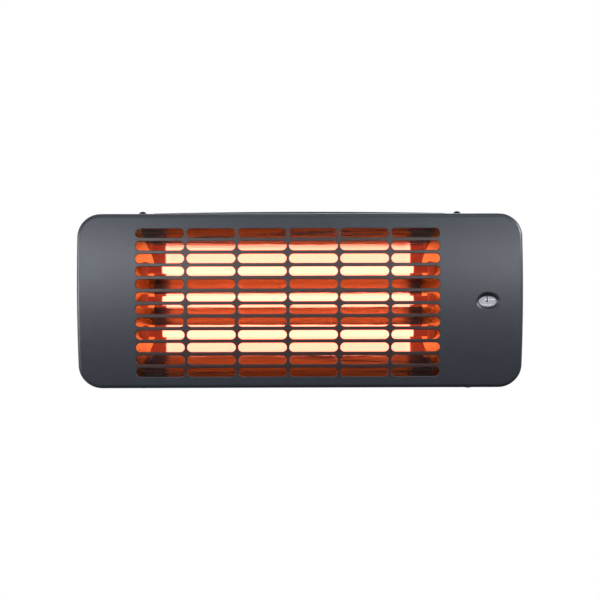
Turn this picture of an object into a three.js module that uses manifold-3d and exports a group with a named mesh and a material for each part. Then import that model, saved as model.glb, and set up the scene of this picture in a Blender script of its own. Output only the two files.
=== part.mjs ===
// Wall-hung quartz tube heater: a crowned, slotted steel cover over a pan-shaped rear shell, three quartz
// tubes in a three-trough reflector, a cord-pull switch with a numbered drum behind an oval window, and a
// U-shaped wall bracket on which the whole heater tilts.
//
// Millimetres. +X is the viewer's right, +Z is up and -Y is the way the heater faces. The origin is the
// middle of the bracket's rear face, on the wall.
import * as THREE from "three";
import { mergeVertices, mergeGeometries } from "three/addons/utils/BufferGeometryUtils.js";
import Module from "manifold-3d";

const wasm = await Module();
wasm.setup();

// ---- Driving dimensions ------------------------------------------------------------------------------

// Fits
const GAP = 0.3; // between pieces that touch, pass through or seat on each other
const THREAD_PLAY = 0.3; // radial, between a screw and its hole
const PAST = 1; // how far a cutting solid runs past what it cuts

// Front cover
const WIDTH = 500;
const HEIGHT = 197.1;
const LEFT_BORDER = 65.63; // plain face between the cover's sides and the grille
const RIGHT_BORDER = 93.37;
const TOP_BORDER = 16.51;
const BOTTOM_BORDER = 12.91;
const CROWN_RADIUS = 570; // the face is an arc seen from the side
const CORNER_RADIUS = 26;
const EDGE_RADIUS = 5; // between the face and the skirt
const COVER_SHEET = 1.2;
const COVER_SKIRT = 24; // depth of the cover's side wall

// Grille
const SLOT_ROWS = 12;
const SLOT_COLUMNS = 6;
const POST_WIDTH = 2.5; // between two slots of a row
const BAR_HEIGHT = 3.68; // between two rows, measured along the crowned face

// Oval window
const WINDOW_FROM_SIDE = 39.86; // from the cover's right-hand side to the window's middle
const WINDOW_Z = -0.6;
const DIMPLE_WIDTH = 26.3;
const DIMPLE_HEIGHT = 20.9;
const DIMPLE_DEPTH = 3;
const WINDOW_WIDTH = 20.8;
const WINDOW_HEIGHT = 12;
const LENS_FLANGE = 2; // how far the lens reaches past its opening, behind the cover
const LENS_SHEET = 1.2;
const LENS_BULGE = 1.4;

// Rear shell
const SHELL_SHEET = 1;
const SHELL_OVERLAP = 15; // how far the shell reaches up inside the cover's skirt
const SHELL_SHOULDER = 14; // straight side wall that shows behind the skirt
const WALL_GAP = 50; // from the wall to the back plate
const BACK_SLOPE = 5.47; // depth of the slope between the side wall and the back plate
const BACK_DRAW_X = 2.5; // how far the slope draws the back plate in at each side
const BACK_DRAW_Z = 32.75; // the same at the top and the bottom
const BACK_CORNER = 20;

// Hot-air hood on the shell's top and the vents
const HOOD_FROM_SIDE = 82; // from the cover's side to the hood's end
const HOOD_RISE = 3.8; // of the hood's bowed top above the cover's top edge, in the middle
const HOOD_END_RISE = 1.9; // the same at the hood's two ends
const HOOD_NOSE = 8; // depth of the hood's sloping front
const HOOD_DEPTH = 18;
const HOOD_CHAMFER = 4.5; // on its rear edge
const HOOD_ROOT = 46; // how far down inside the shell the hood is drawn
const VENT_COUNT = 9;
const VENT_LENGTH = 20;
const VENT_WIDTH = 4;
const VENT_PITCH = 26;

// Cover screws
const COVER_SCREW_FROM_SIDE = 71.5;
const COVER_SCREW_FROM_EDGE = 10.53; // in front of the skirt's rear edge
const SCREW_HEAD_RADIUS = 3.9;
const SCREW_HEAD_HEIGHT = 2.6;
const SCREW_RADIUS = 1.9;
const SCREW_LENGTH = 8;

// Tubes and reflector
const TUBE_PITCH = 36.3;
const TUBE_DEPTH = 26.4; // tubes' middle behind the middle of the face
const TUBE_RADIUS = 5.2;
const TUBE_WALL = 1;
const GLOW_INSET = 27.3; // from each end of the grille to the end of the heating wire
const CAP_INSET = 10.7; // from each end of the grille to where the ceramic caps start
const FILAMENT_RADIUS = 3.2;
const CAP_RADIUS = 8;
const CAP_GRIP = 8; // quartz held inside each cap
const CAP_LENGTH = 14;
const CAP_FLANGE_RADIUS = 9.5;
const CAP_FLANGE = 3;
const STUD_RADIUS = 1.7;
const STUD_TAIL = 6; // stud past the ceramic cap
const REFLECTOR_SHEET = 0.8;
const TROUGH_DEPTH = 15.9; // reflector behind the tubes' middle
const RIDGE_HEIGHT = 16; // between two troughs
const RIDGE_POWER = 3.35; // how square the troughs are
const LIP_DEPTH = 17; // reflector's lips behind the middle of the face
const LIP_MARGIN = 10.85; // from the cover's top and bottom to the lips
const FLANK_START = 20.5; // pull of the flank's curve at the outer trough
const FLANK_KNEE_Y = 17.6; // pull of the flank's curve towards the lip
const FLANK_KNEE_Z = 25;
const END_PLATE_SHEET = 1;
const END_PLATE_INSET = 15.7; // from each end of the grille, at the reflector's deepest line
const END_PLATE_SPLAY = 16.5; // how much further out its front edge is
const END_PLATE_FRONT = 10; // its front edge behind the middle of the face
const END_PLATE_MARGIN = 9.25; // from the cover's top and bottom
const END_PLATE_REAR_MARGIN = 6; // from the back plate's top and bottom
const END_PLATE_FOOT_MARGIN = 14;
const END_FOOT = 10;
const LINK_WIDTH = 9;
const LINK_SHEET = 1.2;
const LINK_ENDS = 4.5; // strip past its outer holes' middles

// Pull switch and numbered drum
const DRUM_RADIUS = 13;
const DRUM_WIDTH = 22;
const DRUM_BEAD = 0.8;
const DRUM_TO_LENS = 1.4;
const SHAFT_RADIUS = 2.5;
const SHAFT_PAST_DRUM = 4;
const SPRING_WIDTH = 2.2;
const SPRING_WIRE = 1.6;
const LEVER_WIDTH = 3;
const LEVER_HUB = 9;
const LEVER_REACH = 19;
const LEVER_END = 4;
const LEVER_OPENING = 60; // degrees from the reach to where the hub's round edge begins
const CORD_HOLE = 1.4;
const BOSS_RADIUS = 5;
const SWITCH_WIDTH = 19;
const SWITCH_DEPTH = 31;
const SWITCH_HEIGHT = 36;
const SHAFT_IN_SWITCH = 12;
const SWITCH_BRACKET_SHEET = 1.5;
const CORD_BUSH_RADIUS = 4.5;
const CORD_BUSH_FLANGE = 5.5;
const CORD_BUSH_BORE = 2.2;
const CORD_BUSH_SHEET = 1.5;
const CORD_BUSH_TAIL = 5;
const CORD_BUSH_CHAMFER = 1;

// Mains side
const GLAND_FROM_SIDE = 22;
const GLAND_Z = 12;
const GLAND_THREAD = 8;
const GLAND_FLANGE = 11;
const GLAND_FLANGE_SHEET = 5;
const GLAND_SLEEVE = 8; // straight part of the nose
const GLAND_TAPER = 8;
const GLAND_NOSE_RADIUS = 8;
const GLAND_TIP_WALL = 1;
const GLAND_INSIDE = 7;
const GLAND_BORE = 4.2;
const CLAMP_LENGTH = 26;
const CLAMP_WIDTH = 8;
const CLAMP_HEIGHT = 9;
const CLAMP_Z = 30;
const CLAMP_SCREW_SPACING = 18;
const BLOCK_FROM_SIDE = 56;
const BLOCK_Z = 50;
const BLOCK_LENGTH = 34;
const BLOCK_DEPTH = 14;
const BLOCK_HEIGHT = 14;
const BLOCK_WAYS = 3;
const BLOCK_WELL_RADIUS = 2.2;
const BLOCK_WELL_DEPTH = 7;
const BLOCK_GROOVE_WIDTH = 1.6;
const BLOCK_GROOVE_DEPTH = 5.6;
const CUTOUT_BELOW_LIP = 21.4;
const CUTOUT_ALONG = 18; // up the end plate from the reflector's deepest line
const CUTOUT_RADIUS = 8;
const CUTOUT_LENGTH = 7;
const CUTOUT_FLANGE = 10.5;
const CUTOUT_FLANGE_SHEET = 1;
const CUTOUT_TAB = 4; // its two wires on either side of its middle
const EARTH_FROM_SIDE = 50;
const EARTH_Z = -48;
const PAN_HEAD_RADIUS = 4;
const PAN_HEAD = 2.6;
const PAN_BEVEL = 0.8;
const PAN_TAIL = 5; // screw past the back plate's inner face
const WIRE_RADIUS = 1.2;
const WIRE_LEAD = 6;
const WIRE_HOLE_RADIUS = 3;
const NEUTRAL_WIRE_BACK = 10; // in front of the back plate
const NEUTRAL_WIRE_MARGIN = 26.25; // below the cover's top

// Wall bracket and tilt
const PIVOT_STANDOFF = 14; // from the shell's back plate to the pivot
const HEATER_RISE = 30; // middle of the face above the pivot
const BRACKET_SHEET = 2;
const BRACKET_HEIGHT = 60;
const EAR_X = 90; // inner face of each ear
const EAR_SHEET = 2;
const EAR_RADIUS = 10;
const EAR_FOOT = 12;
const EAR_FOOT_SHEET = 1.5;
const WASHER_SHEET = 1.2;
const WASHER_RADIUS = 8;
const ARM_RADIUS = 11;
const BOLT_RADIUS = 3;
const BOLT_HEAD_RADIUS = 6;
const BOLT_HEAD = 3.6;
const KNOB_RADIUS = 11;
const KNOB_LOBES = 6;
const KNOB_LOBE_DEPTH = 1.3;
const KNOB_LENGTH = 17;
const KNOB_NECK = 6;
const KNOB_CAP = 3;
const WALL_SLOT_X = 70;
const WALL_SLOT_LENGTH = 18;
const WALL_SLOT_WIDTH = 6.5;

// Facets
const ROUND_STEPS = 16;
const FINE_STEPS = 8;
const SLOT_STEPS = 4;
const CORNER_STEPS = 6;
const EDGE_STEPS = 3;
const TROUGH_STEPS = 8;
const BOW_STEPS = 6;
const DOME_STEPS = 4;
const DRUM_STEPS = 32;
const WIRE_SIDES = 6;

// ---- Solids ------------------------------------------------------------------------------------------

function solid(geometry) {
  const bare = geometry.clone();
  bare.deleteAttribute("normal");
  bare.deleteAttribute("uv");
  const merged = mergeVertices(bare, 1e-4);
  return new wasm.Manifold(
    new wasm.Mesh({
      numProp: 3,
      vertProperties: new Float32Array(merged.attributes.position.array),
      triVerts: new Uint32Array(merged.index.array),
    }),
  );
}

function geometryOf(manifold) {
  const { vertProperties, triVerts } = manifold.getMesh();
  const geometry = new THREE.BufferGeometry();
  geometry.setAttribute("position", new THREE.BufferAttribute(vertProperties, 3));
  geometry.setIndex(new THREE.BufferAttribute(triVerts, 1));
  return geometry;
}

function cut(body, ...tools) {
  return geometryOf(tools.reduce((left, tool) => left.subtract(solid(tool)), solid(body)));
}

function join(body, ...others) {
  return geometryOf(others.reduce((sum, other) => sum.add(solid(other)), solid(body)));
}

function common(first, second) {
  return geometryOf(solid(first).intersect(solid(second)));
}

// A box between two corners.
function block([x0, y0, z0], [x1, y1, z1]) {
  return new THREE.BoxGeometry(x1 - x0, y1 - y0, z1 - z0)
    .translate((x0 + x1) / 2, (y0 + y1) / 2, (z0 + z1) / 2);
}

// Turned parts: the profile is a list of [radius, distance along the axis].
function turnedZ(profile, steps = ROUND_STEPS) {
  return new THREE.LatheGeometry(profile.map(([radius, along]) => new THREE.Vector2(radius, along)), steps);
}

function turnedAlongX(profile, steps) {
  return turnedZ(profile, steps).rotateZ(-Math.PI / 2);
}

function turnedAlongY(profile, steps) {
  return turnedZ(profile, steps);
}

function turnedAlongZ(profile, steps) {
  return turnedZ(profile, steps).rotateX(Math.PI / 2);
}

function rod(radius, from, to) {
  return [[0, from], [radius, from], [radius, to], [0, to]];
}

function tube(inner, outer, from, to) {
  return [[inner, from], [outer, from], [outer, to], [inner, to], [inner, from]];
}

// Prisms: an outline drawn in two axes and drawn out along the third.
function prismAlongY(points, from, to) {
  const shape = new THREE.Shape(points.map(([x, z]) => new THREE.Vector2(x, z)));
  const prism = new THREE.ExtrudeGeometry(shape, { depth: to - from, bevelEnabled: false });
  return prism.rotateX(Math.PI / 2).translate(0, to, 0);
}

function prismAlongX(points, from, to) {
  const shape = new THREE.Shape(points.map(([y, z]) => new THREE.Vector2(y, z)));
  const prism = new THREE.ExtrudeGeometry(shape, { depth: to - from, bevelEnabled: false });
  return prism.rotateX(Math.PI / 2).rotateZ(Math.PI / 2).translate(from, 0, 0);
}

function prismAlongZ(points, from, to) {
  const shape = new THREE.Shape(points.map(([x, y]) => new THREE.Vector2(x, y)));
  return new THREE.ExtrudeGeometry(shape, { depth: to - from, bevelEnabled: false }).translate(0, 0, from);
}

function arcPoints(centreA, centreB, radius, fromDegrees, toDegrees, steps) {
  return Array.from({ length: steps + 1 }, (_, i) => {
    const angle = THREE.MathUtils.degToRad(fromDegrees + ((toDegrees - fromDegrees) * i) / steps);
    return [centreA + radius * Math.cos(angle), centreB + radius * Math.sin(angle)];
  });
}

function stadium(length, width, steps = SLOT_STEPS) {
  const reach = (length - width) / 2;
  return [
    ...arcPoints(reach, 0, width / 2, -90, 90, steps),
    ...arcPoints(-reach, 0, width / 2, 90, 270, steps),
  ];
}

function ellipse(width, height, steps = ROUND_STEPS) {
  return Array.from({ length: steps }, (_, i) => {
    const angle = (2 * Math.PI * (i + 0.5)) / steps;
    return [(width / 2) * Math.sin(angle), (height / 2) * Math.cos(angle)];
  });
}

// A closed skin over rings of points. Each ring starts at its top right and ends at its top left, so that
// point i and the i-th from the end lie at one height, and level strips close the first and last rings.
function loft(rings) {
  const count = rings[0].length;
  const positions = rings.flat().flat();
  const faces = [];
  const quad = (a, b, c, d) => faces.push(a, b, c, a, c, d);
  for (let ring = 0; ring < rings.length - 1; ring += 1) {
    for (let i = 0; i < count; i += 1) {
      const next = (i + 1) % count;
      const here = ring * count;
      const there = here + count;
      quad(here + i, there + i, there + next, here + next);
    }
  }
  const last = (rings.length - 1) * count;
  for (let i = 0; i < count / 2 - 1; i += 1) {
    const mirror = count - 1 - i;
    quad(i, i + 1, mirror - 1, mirror);
    quad(last + i, last + mirror, last + mirror - 1, last + i + 1);
  }
  const geometry = new THREE.BufferGeometry();
  geometry.setAttribute("position", new THREE.Float32BufferAttribute(positions, 3));
  geometry.setIndex(faces);
  return geometry;
}

// ---- Front cover -------------------------------------------------------------------------------------

const GRILLE_LENGTH = WIDTH - LEFT_BORDER - RIGHT_BORDER;
const GRILLE_HEIGHT = HEIGHT - TOP_BORDER - BOTTOM_BORDER;
const SLOT_PITCH_X = (GRILLE_LENGTH + POST_WIDTH) / SLOT_COLUMNS;
const SLOT_PITCH_Z = (GRILLE_HEIGHT + BAR_HEIGHT) / SLOT_ROWS;
const SLOT_LENGTH = SLOT_PITCH_X - POST_WIDTH;
const SLOT_HEIGHT = SLOT_PITCH_Z - BAR_HEIGHT;
const GRILLE_X = (LEFT_BORDER - RIGHT_BORDER) / 2;
const GRILLE_Z = (BOTTOM_BORDER - TOP_BORDER) / 2;
const WINDOW_X = WIDTH / 2 - WINDOW_FROM_SIDE;

// From the wall outwards: back plate, shoulder, the skirt's two edges and the middle of the crowned face.
const crownDrop = (z) => CROWN_RADIUS - Math.sqrt(CROWN_RADIUS ** 2 - z ** 2);
const BACK_Y = -WALL_GAP;
const SHOULDER_Y = BACK_Y - BACK_SLOPE;
const SKIRT_REAR_Y = SHOULDER_Y - SHELL_SHOULDER;
const FACE_Y = SKIRT_REAR_Y - COVER_SKIRT - crownDrop(HEIGHT / 2);
const faceY = (z) => FACE_Y + crownDrop(z);
const COVER_SCREW_X = WIDTH / 2 - COVER_SCREW_FROM_SIDE;
const COVER_SCREW_Y = SKIRT_REAR_Y - COVER_SCREW_FROM_EDGE;

// A rounded rectangle in X and Z with level points down its straight sides.
function roundedOutline(width, height, radius) {
  const cornerX = width / 2 - radius;
  const cornerZ = height / 2 - radius;
  const sideSteps = SLOT_ROWS - 2;
  const side = Array.from({ length: sideSteps - 1 }, (_, i) => [
    width / 2,
    cornerZ - (2 * cornerZ * (i + 1)) / sideSteps,
  ]);
  const right = [
    ...arcPoints(cornerX, cornerZ, radius, 90, 0, CORNER_STEPS),
    ...side,
    ...arcPoints(cornerX, -cornerZ, radius, 0, -90, CORNER_STEPS),
  ];
  return [...right, ...right.map(([x, z]) => [-x, z]).reverse()];
}

// The filled form of the cover, drawn in by inset all round and set back from the face by the same.
function coverForm(inset, rearY) {
  const edge = EDGE_RADIUS - inset;
  const rings = [roundedOutline(WIDTH - 2 * inset, HEIGHT - 2 * inset, CORNER_RADIUS - inset)
    .map(([x, z]) => [x, rearY, z])];
  for (let step = 0; step <= EDGE_STEPS; step += 1) {
    const angle = (Math.PI / 2) * (step / EDGE_STEPS);
    const drawnIn = inset + edge * (1 - Math.cos(angle));
    const back = inset + edge * (1 - Math.sin(angle));
    rings.push(
      roundedOutline(WIDTH - 2 * drawnIn, HEIGHT - 2 * drawnIn, CORNER_RADIUS - drawnIn)
        .map(([x, z]) => [x, faceY(z) + back, z]),
    );
  }
  return loft(rings);
}

function grilleSlots() {
  const deep = COVER_SHEET + PAST;
  const slots = [];
  for (let row = 0; row < SLOT_ROWS; row += 1) {
    const along = GRILLE_Z + SLOT_PITCH_Z * (row - (SLOT_ROWS - 1) / 2);
    const lean = along / CROWN_RADIUS;
    for (let column = 0; column < SLOT_COLUMNS; column += 1) {
      const x = GRILLE_X + SLOT_PITCH_X * (column - (SLOT_COLUMNS - 1) / 2);
      slots.push(
        prismAlongY(stadium(SLOT_LENGTH, SLOT_HEIGHT), -deep, deep)
          .translate(0, -CROWN_RADIUS, 0)
          .rotateX(-lean)
          .translate(x, FACE_Y + CROWN_RADIUS, 0),
      );
    }
  }
  return mergeGeometries(slots);
}

const ovalRing = (width, height, y) =>
  ellipse(width, height).map(([x, z]) => [x + WINDOW_X, y, z + WINDOW_Z]);
const DIMPLE_FLOOR_Y = faceY(WINDOW_Z) + DIMPLE_DEPTH;
const DIMPLE_REAR_Y = DIMPLE_FLOOR_Y + COVER_SHEET;

function screwHoles(radius) {
  const reach = HEIGHT / 2 + SCREW_LENGTH;
  return [-1, 1].map((side) =>
    turnedAlongZ(rod(radius, -reach, reach), FINE_STEPS).translate(side * COVER_SCREW_X, COVER_SCREW_Y, 0));
}

function frontCover() {
  const hollow = coverForm(COVER_SHEET, SKIRT_REAR_Y + PAST);
  const pan = cut(coverForm(0, SKIRT_REAR_Y), hollow);
  const wall = 2 * COVER_SHEET;
  const dimpleWall = loft([
    ovalRing(WINDOW_WIDTH + wall, WINDOW_HEIGHT + wall, DIMPLE_REAR_Y),
    ovalRing(DIMPLE_WIDTH + wall, DIMPLE_HEIGHT + wall, faceY(WINDOW_Z) + COVER_SHEET / 2),
  ]);
  const slope = (DIMPLE_WIDTH - WINDOW_WIDTH) / DIMPLE_DEPTH;
  const rise = (DIMPLE_HEIGHT - WINDOW_HEIGHT) / DIMPLE_DEPTH;
  const dimple = loft([
    ovalRing(WINDOW_WIDTH, WINDOW_HEIGHT, DIMPLE_REAR_Y + PAST),
    ovalRing(WINDOW_WIDTH, WINDOW_HEIGHT, DIMPLE_FLOOR_Y),
    ovalRing(DIMPLE_WIDTH + PAST * slope, DIMPLE_HEIGHT + PAST * rise, faceY(WINDOW_Z) - PAST),
  ]);
  return cut(join(pan, dimpleWall), dimple, grilleSlots(), ...screwHoles(SCREW_RADIUS + THREAD_PLAY));
}

// ---- Rear shell --------------------------------------------------------------------------------------

const SHELL_WIDTH = WIDTH - 2 * (COVER_SHEET + GAP);
const SHELL_HEIGHT = HEIGHT - 2 * (COVER_SHEET + GAP);
const SHELL_CORNER = CORNER_RADIUS - COVER_SHEET - GAP;
const SHELL_FRONT_Y = SKIRT_REAR_Y - SHELL_OVERLAP;
const BACK_WIDTH = SHELL_WIDTH - 2 * BACK_DRAW_X;
const BACK_HEIGHT = SHELL_HEIGHT - 2 * BACK_DRAW_Z;
const BACK_INSIDE_Y = BACK_Y - SHELL_SHEET;
const HOOD_FRONT_Y = SKIRT_REAR_Y + GAP;
const HOOD_TOP_Z = HEIGHT / 2 + HOOD_RISE;
const HOOD_HALF_WIDTH = WIDTH / 2 - HOOD_FROM_SIDE;

function shellForm(inset, frontY) {
  const ring = (width, height, radius, y) =>
    roundedOutline(width - 2 * inset, height - 2 * inset, radius - inset).map(([x, z]) => [x, y, z]);
  return loft([
    ring(BACK_WIDTH, BACK_HEIGHT, BACK_CORNER, BACK_Y - inset),
    ring(SHELL_WIDTH, SHELL_HEIGHT, SHELL_CORNER, SHOULDER_Y - inset),
    ring(SHELL_WIDTH, SHELL_HEIGHT, SHELL_CORNER, frontY),
  ]);
}

// The hood is where a low bow seen from the front meets a sloping hump seen from the side.
function hoodForm(inset) {
  const foot = SHELL_HEIGHT / 2 - HOOD_ROOT;
  const top = HOOD_TOP_Z - inset;
  const low = SHELL_HEIGHT / 2 - inset;
  const half = HOOD_HALF_WIDTH - inset;
  const step = HEIGHT / 2 + HOOD_END_RISE - inset;
  const crest = Array.from({ length: 2 * BOW_STEPS + 1 }, (_, i) => {
    const t = 1 - i / BOW_STEPS;
    return [half * t, THREE.MathUtils.lerp(top, step, t ** 2)];
  });
  const bow = [[half, foot], ...crest, [-half, foot]];
  const front = HOOD_FRONT_Y + inset;
  const rear = HOOD_FRONT_Y + HOOD_DEPTH - inset;
  const hump = [
    [front, foot],
    [rear, foot],
    [rear, top - HOOD_CHAMFER],
    [rear - HOOD_CHAMFER, top],
    [front + HOOD_NOSE, top],
    [front, low],
  ];
  return common(prismAlongY(bow, front, rear), prismAlongX(hump, -half, half));
}

// The vents let air in through the lower slope and out through the hood's top.
function vents() {
  const topY = HOOD_FRONT_Y + (HOOD_NOSE + HOOD_DEPTH - HOOD_CHAMFER) / 2;
  const bottomZ = -(SHELL_HEIGHT - BACK_DRAW_Z) / 2;
  const row = Array.from({ length: VENT_COUNT }, (_, i) => VENT_PITCH * (i - (VENT_COUNT - 1) / 2));
  const slot = stadium(VENT_LENGTH, VENT_WIDTH);
  return mergeGeometries([
    ...row.map((x) => prismAlongZ(slot, HEIGHT / 2, HOOD_TOP_Z + PAST).translate(x, topY, 0)),
    ...row.map((x) => prismAlongY(slot, SHOULDER_Y - SHELL_SHEET, BACK_Y + PAST).translate(x, 0, bottomZ)),
  ]);
}

function roundHole(x, z, radius) {
  return turnedAlongY(rod(radius, BACK_INSIDE_Y - PAST, BACK_Y + PAST)).translate(x, 0, z);
}

function rearShell() {
  const skin = join(shellForm(0, SHELL_FRONT_Y), hoodForm(0));
  const bushHole = turnedAlongZ(rod(CORD_BUSH_RADIUS + GAP, -SHELL_HEIGHT / 2 - PAST, SHELL_FLOOR_Z + PAST))
    .translate(CORD_BUSH_X, CORD_BUSH_Y, 0);
  return cut(
    skin,
    shellForm(SHELL_SHEET, SHELL_FRONT_Y - PAST),
    hoodForm(SHELL_SHEET),
    vents(),
    bushHole,
    roundHole(GLAND_X, GLAND_Z, GLAND_THREAD + GAP),
    roundHole(EARTH_X, EARTH_Z, SCREW_RADIUS + THREAD_PLAY),
    ...clampScrewXs.map((x) => roundHole(x, CLAMP_Z, SCREW_RADIUS + THREAD_PLAY)),
    ...screwHoles(SCREW_RADIUS + THREAD_PLAY),
  );
}

// Domed screw, drawn point down with its head's underside at z = 0.
function domedScrew() {
  const dome = arcPoints(0, 0, 1, 0, 90, DOME_STEPS)
    .map(([across, up]) => [SCREW_HEAD_RADIUS * across, SCREW_HEAD_HEIGHT * up]);
  dome[DOME_STEPS][0] = 0;
  return turnedAlongZ([[0, -SCREW_LENGTH], [SCREW_RADIUS, -SCREW_LENGTH], [SCREW_RADIUS, 0], ...dome]);
}

// ---- Window lens -------------------------------------------------------------------------------------

const LENS_FRONT_Y = DIMPLE_REAR_Y + GAP;
const LENS_REAR_Y = LENS_FRONT_Y + LENS_SHEET;

function windowLens() {
  const width = WINDOW_WIDTH - 2 * GAP;
  const height = WINDOW_HEIGHT - 2 * GAP;
  const flange = loft([
    ovalRing(WINDOW_WIDTH + 2 * LENS_FLANGE, WINDOW_HEIGHT + 2 * LENS_FLANGE, LENS_REAR_Y),
    ovalRing(WINDOW_WIDTH + 2 * LENS_FLANGE, WINDOW_HEIGHT + 2 * LENS_FLANGE, LENS_FRONT_Y),
  ]);
  const bulge = arcPoints(0, 0, 1, 0, 75, DOME_STEPS).map(([across, out]) =>
    ovalRing(width * across, height * across, DIMPLE_FLOOR_Y - LENS_BULGE * out));
  return join(flange, loft([ovalRing(width, height, LENS_REAR_Y), ...bulge]));
}

// ---- Pull switch -------------------------------------------------------------------------------------

const SHAFT_Y = LENS_REAR_Y + DRUM_TO_LENS + DRUM_RADIUS;
const DRUM_LEFT = WINDOW_X - DRUM_WIDTH / 2;
const DRUM_RIGHT = WINDOW_X + DRUM_WIDTH / 2;
const SPRING_X = DRUM_LEFT - GAP - SPRING_WIDTH;
const LEVER_X = SPRING_X - GAP - LEVER_WIDTH;
const SWITCH_RIGHT = LEVER_X - GAP;
const SWITCH_LEFT = SWITCH_RIGHT - SWITCH_WIDTH;
const SWITCH_REAR_Y = SHAFT_Y + SWITCH_DEPTH / 2;
const CORD_BUSH_X = LEVER_X + LEVER_WIDTH / 2;
const CORD_BUSH_Y = SHAFT_Y + LEVER_REACH;
const SHAFT_BORE_END = SWITCH_RIGHT - SHAFT_IN_SWITCH;

function indicatorDrum() {
  const bore = SHAFT_RADIUS + GAP;
  const profile = [
    [bore, DRUM_LEFT],
    [DRUM_RADIUS - DRUM_BEAD, DRUM_LEFT],
    [DRUM_RADIUS, DRUM_LEFT + DRUM_BEAD],
    [DRUM_RADIUS, DRUM_RIGHT - DRUM_BEAD],
    [DRUM_RADIUS - DRUM_BEAD, DRUM_RIGHT],
    [bore, DRUM_RIGHT],
    [bore, DRUM_LEFT],
  ];
  return turnedAlongX(profile, DRUM_STEPS);
}

function drumShaft() {
  return turnedAlongX(rod(SHAFT_RADIUS, SHAFT_BORE_END + GAP, DRUM_RIGHT + SHAFT_PAST_DRUM), FINE_STEPS);
}

function switchBody() {
  const half = SWITCH_HEIGHT / 2;
  const housing = block([SWITCH_LEFT, -SWITCH_DEPTH / 2, -half], [SWITCH_RIGHT, SWITCH_DEPTH / 2, half]);
  const bossEnd = SPRING_X + SPRING_WIDTH;
  const boss = turnedAlongX(rod(BOSS_RADIUS, SWITCH_RIGHT - PAST, bossEnd));
  const bore = turnedAlongX(rod(SHAFT_RADIUS + GAP, SHAFT_BORE_END, bossEnd + PAST));
  return cut(join(housing, boss), bore);
}

function pullLever() {
  const far = LEVER_X + LEVER_WIDTH;
  const outline = [
    ...arcPoints(0, 0, LEVER_HUB, LEVER_OPENING, 360 - LEVER_OPENING, ROUND_STEPS - 2),
    ...arcPoints(LEVER_REACH, 0, LEVER_END, -LEVER_OPENING, LEVER_OPENING, SLOT_STEPS),
  ];
  const hub = prismAlongX(outline, LEVER_X, far);
  const hole = turnedAlongX(rod(BOSS_RADIUS + GAP, LEVER_X - PAST, far + PAST));
  const cordHole = turnedAlongX(rod(CORD_HOLE, LEVER_X - PAST, far + PAST), FINE_STEPS)
    .translate(0, LEVER_REACH, 0);
  return cut(hub, hole, cordHole);
}

function leverSpring() {
  const inner = BOSS_RADIUS + GAP;
  return turnedAlongX(tube(inner, inner + SPRING_WIRE, SPRING_X, SPRING_X + SPRING_WIDTH));
}

// A channel that carries the switch on the shell's back plate, open towards the switch.
function switchBracket() {
  const half = SWITCH_HEIGHT / 2 - GAP;
  const rear = BACK_INSIDE_Y - GAP;
  const sheet = SWITCH_BRACKET_SHEET;
  const front = SWITCH_REAR_Y + GAP;
  const channel = block([SWITCH_LEFT, front, -half], [SWITCH_RIGHT, rear, half]);
  const hollow = block(
    [SWITCH_LEFT - PAST, front - PAST, sheet - half],
    [SWITCH_RIGHT + PAST, rear - sheet, half - sheet],
  );
  return cut(channel, hollow);
}

// The bush drops through the shell's bottom wall; its flange rests inside and its collar hangs outside.
const SHELL_FLOOR_Z = -SHELL_HEIGHT / 2 + SHELL_SHEET;

function cordBush() {
  const seat = SHELL_FLOOR_Z + GAP;
  const tip = -SHELL_HEIGHT / 2 - CORD_BUSH_TAIL;
  return turnedAlongZ([
    [CORD_BUSH_BORE, tip],
    [CORD_BUSH_RADIUS - CORD_BUSH_CHAMFER, tip],
    [CORD_BUSH_RADIUS, tip + CORD_BUSH_CHAMFER],
    [CORD_BUSH_RADIUS, seat],
    [CORD_BUSH_FLANGE, seat],
    [CORD_BUSH_FLANGE, seat + CORD_BUSH_SHEET],
    [CORD_BUSH_BORE, seat + CORD_BUSH_SHEET],
    [CORD_BUSH_BORE, tip],
  ]).translate(CORD_BUSH_X, CORD_BUSH_Y, 0);
}

// ---- Tubes and reflector -----------------------------------------------------------------------------

const TUBES = { top: 1, middle: 0, bottom: -1 };
const TUBE_COUNT = Object.keys(TUBES).length;
const SIDES = { left: -1, right: 1 };
const TUBE_Y = FACE_Y + TUBE_DEPTH;
const REFLECTOR_Y = TUBE_Y + TROUGH_DEPTH;
const LIP_Z = HEIGHT / 2 - LIP_MARGIN;
const CUTOUT_Z = LIP_Z - CUTOUT_BELOW_LIP;
const NEUTRAL_WIRE_Y = BACK_Y - NEUTRAL_WIRE_BACK;
const NEUTRAL_WIRE_Z = HEIGHT / 2 - NEUTRAL_WIRE_MARGIN;
const GLOW_END = GRILLE_LENGTH / 2 - GLOW_INSET; // these four from the grille's middle
const CAP_START = GRILLE_LENGTH / 2 - CAP_INSET;
const CAP_END = CAP_START + CAP_LENGTH;
const STUD_END = CAP_END + STUD_TAIL;
const LINK_X = CAP_END + GAP;
const tubeZ = (place) => place * TUBE_PITCH;

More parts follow.
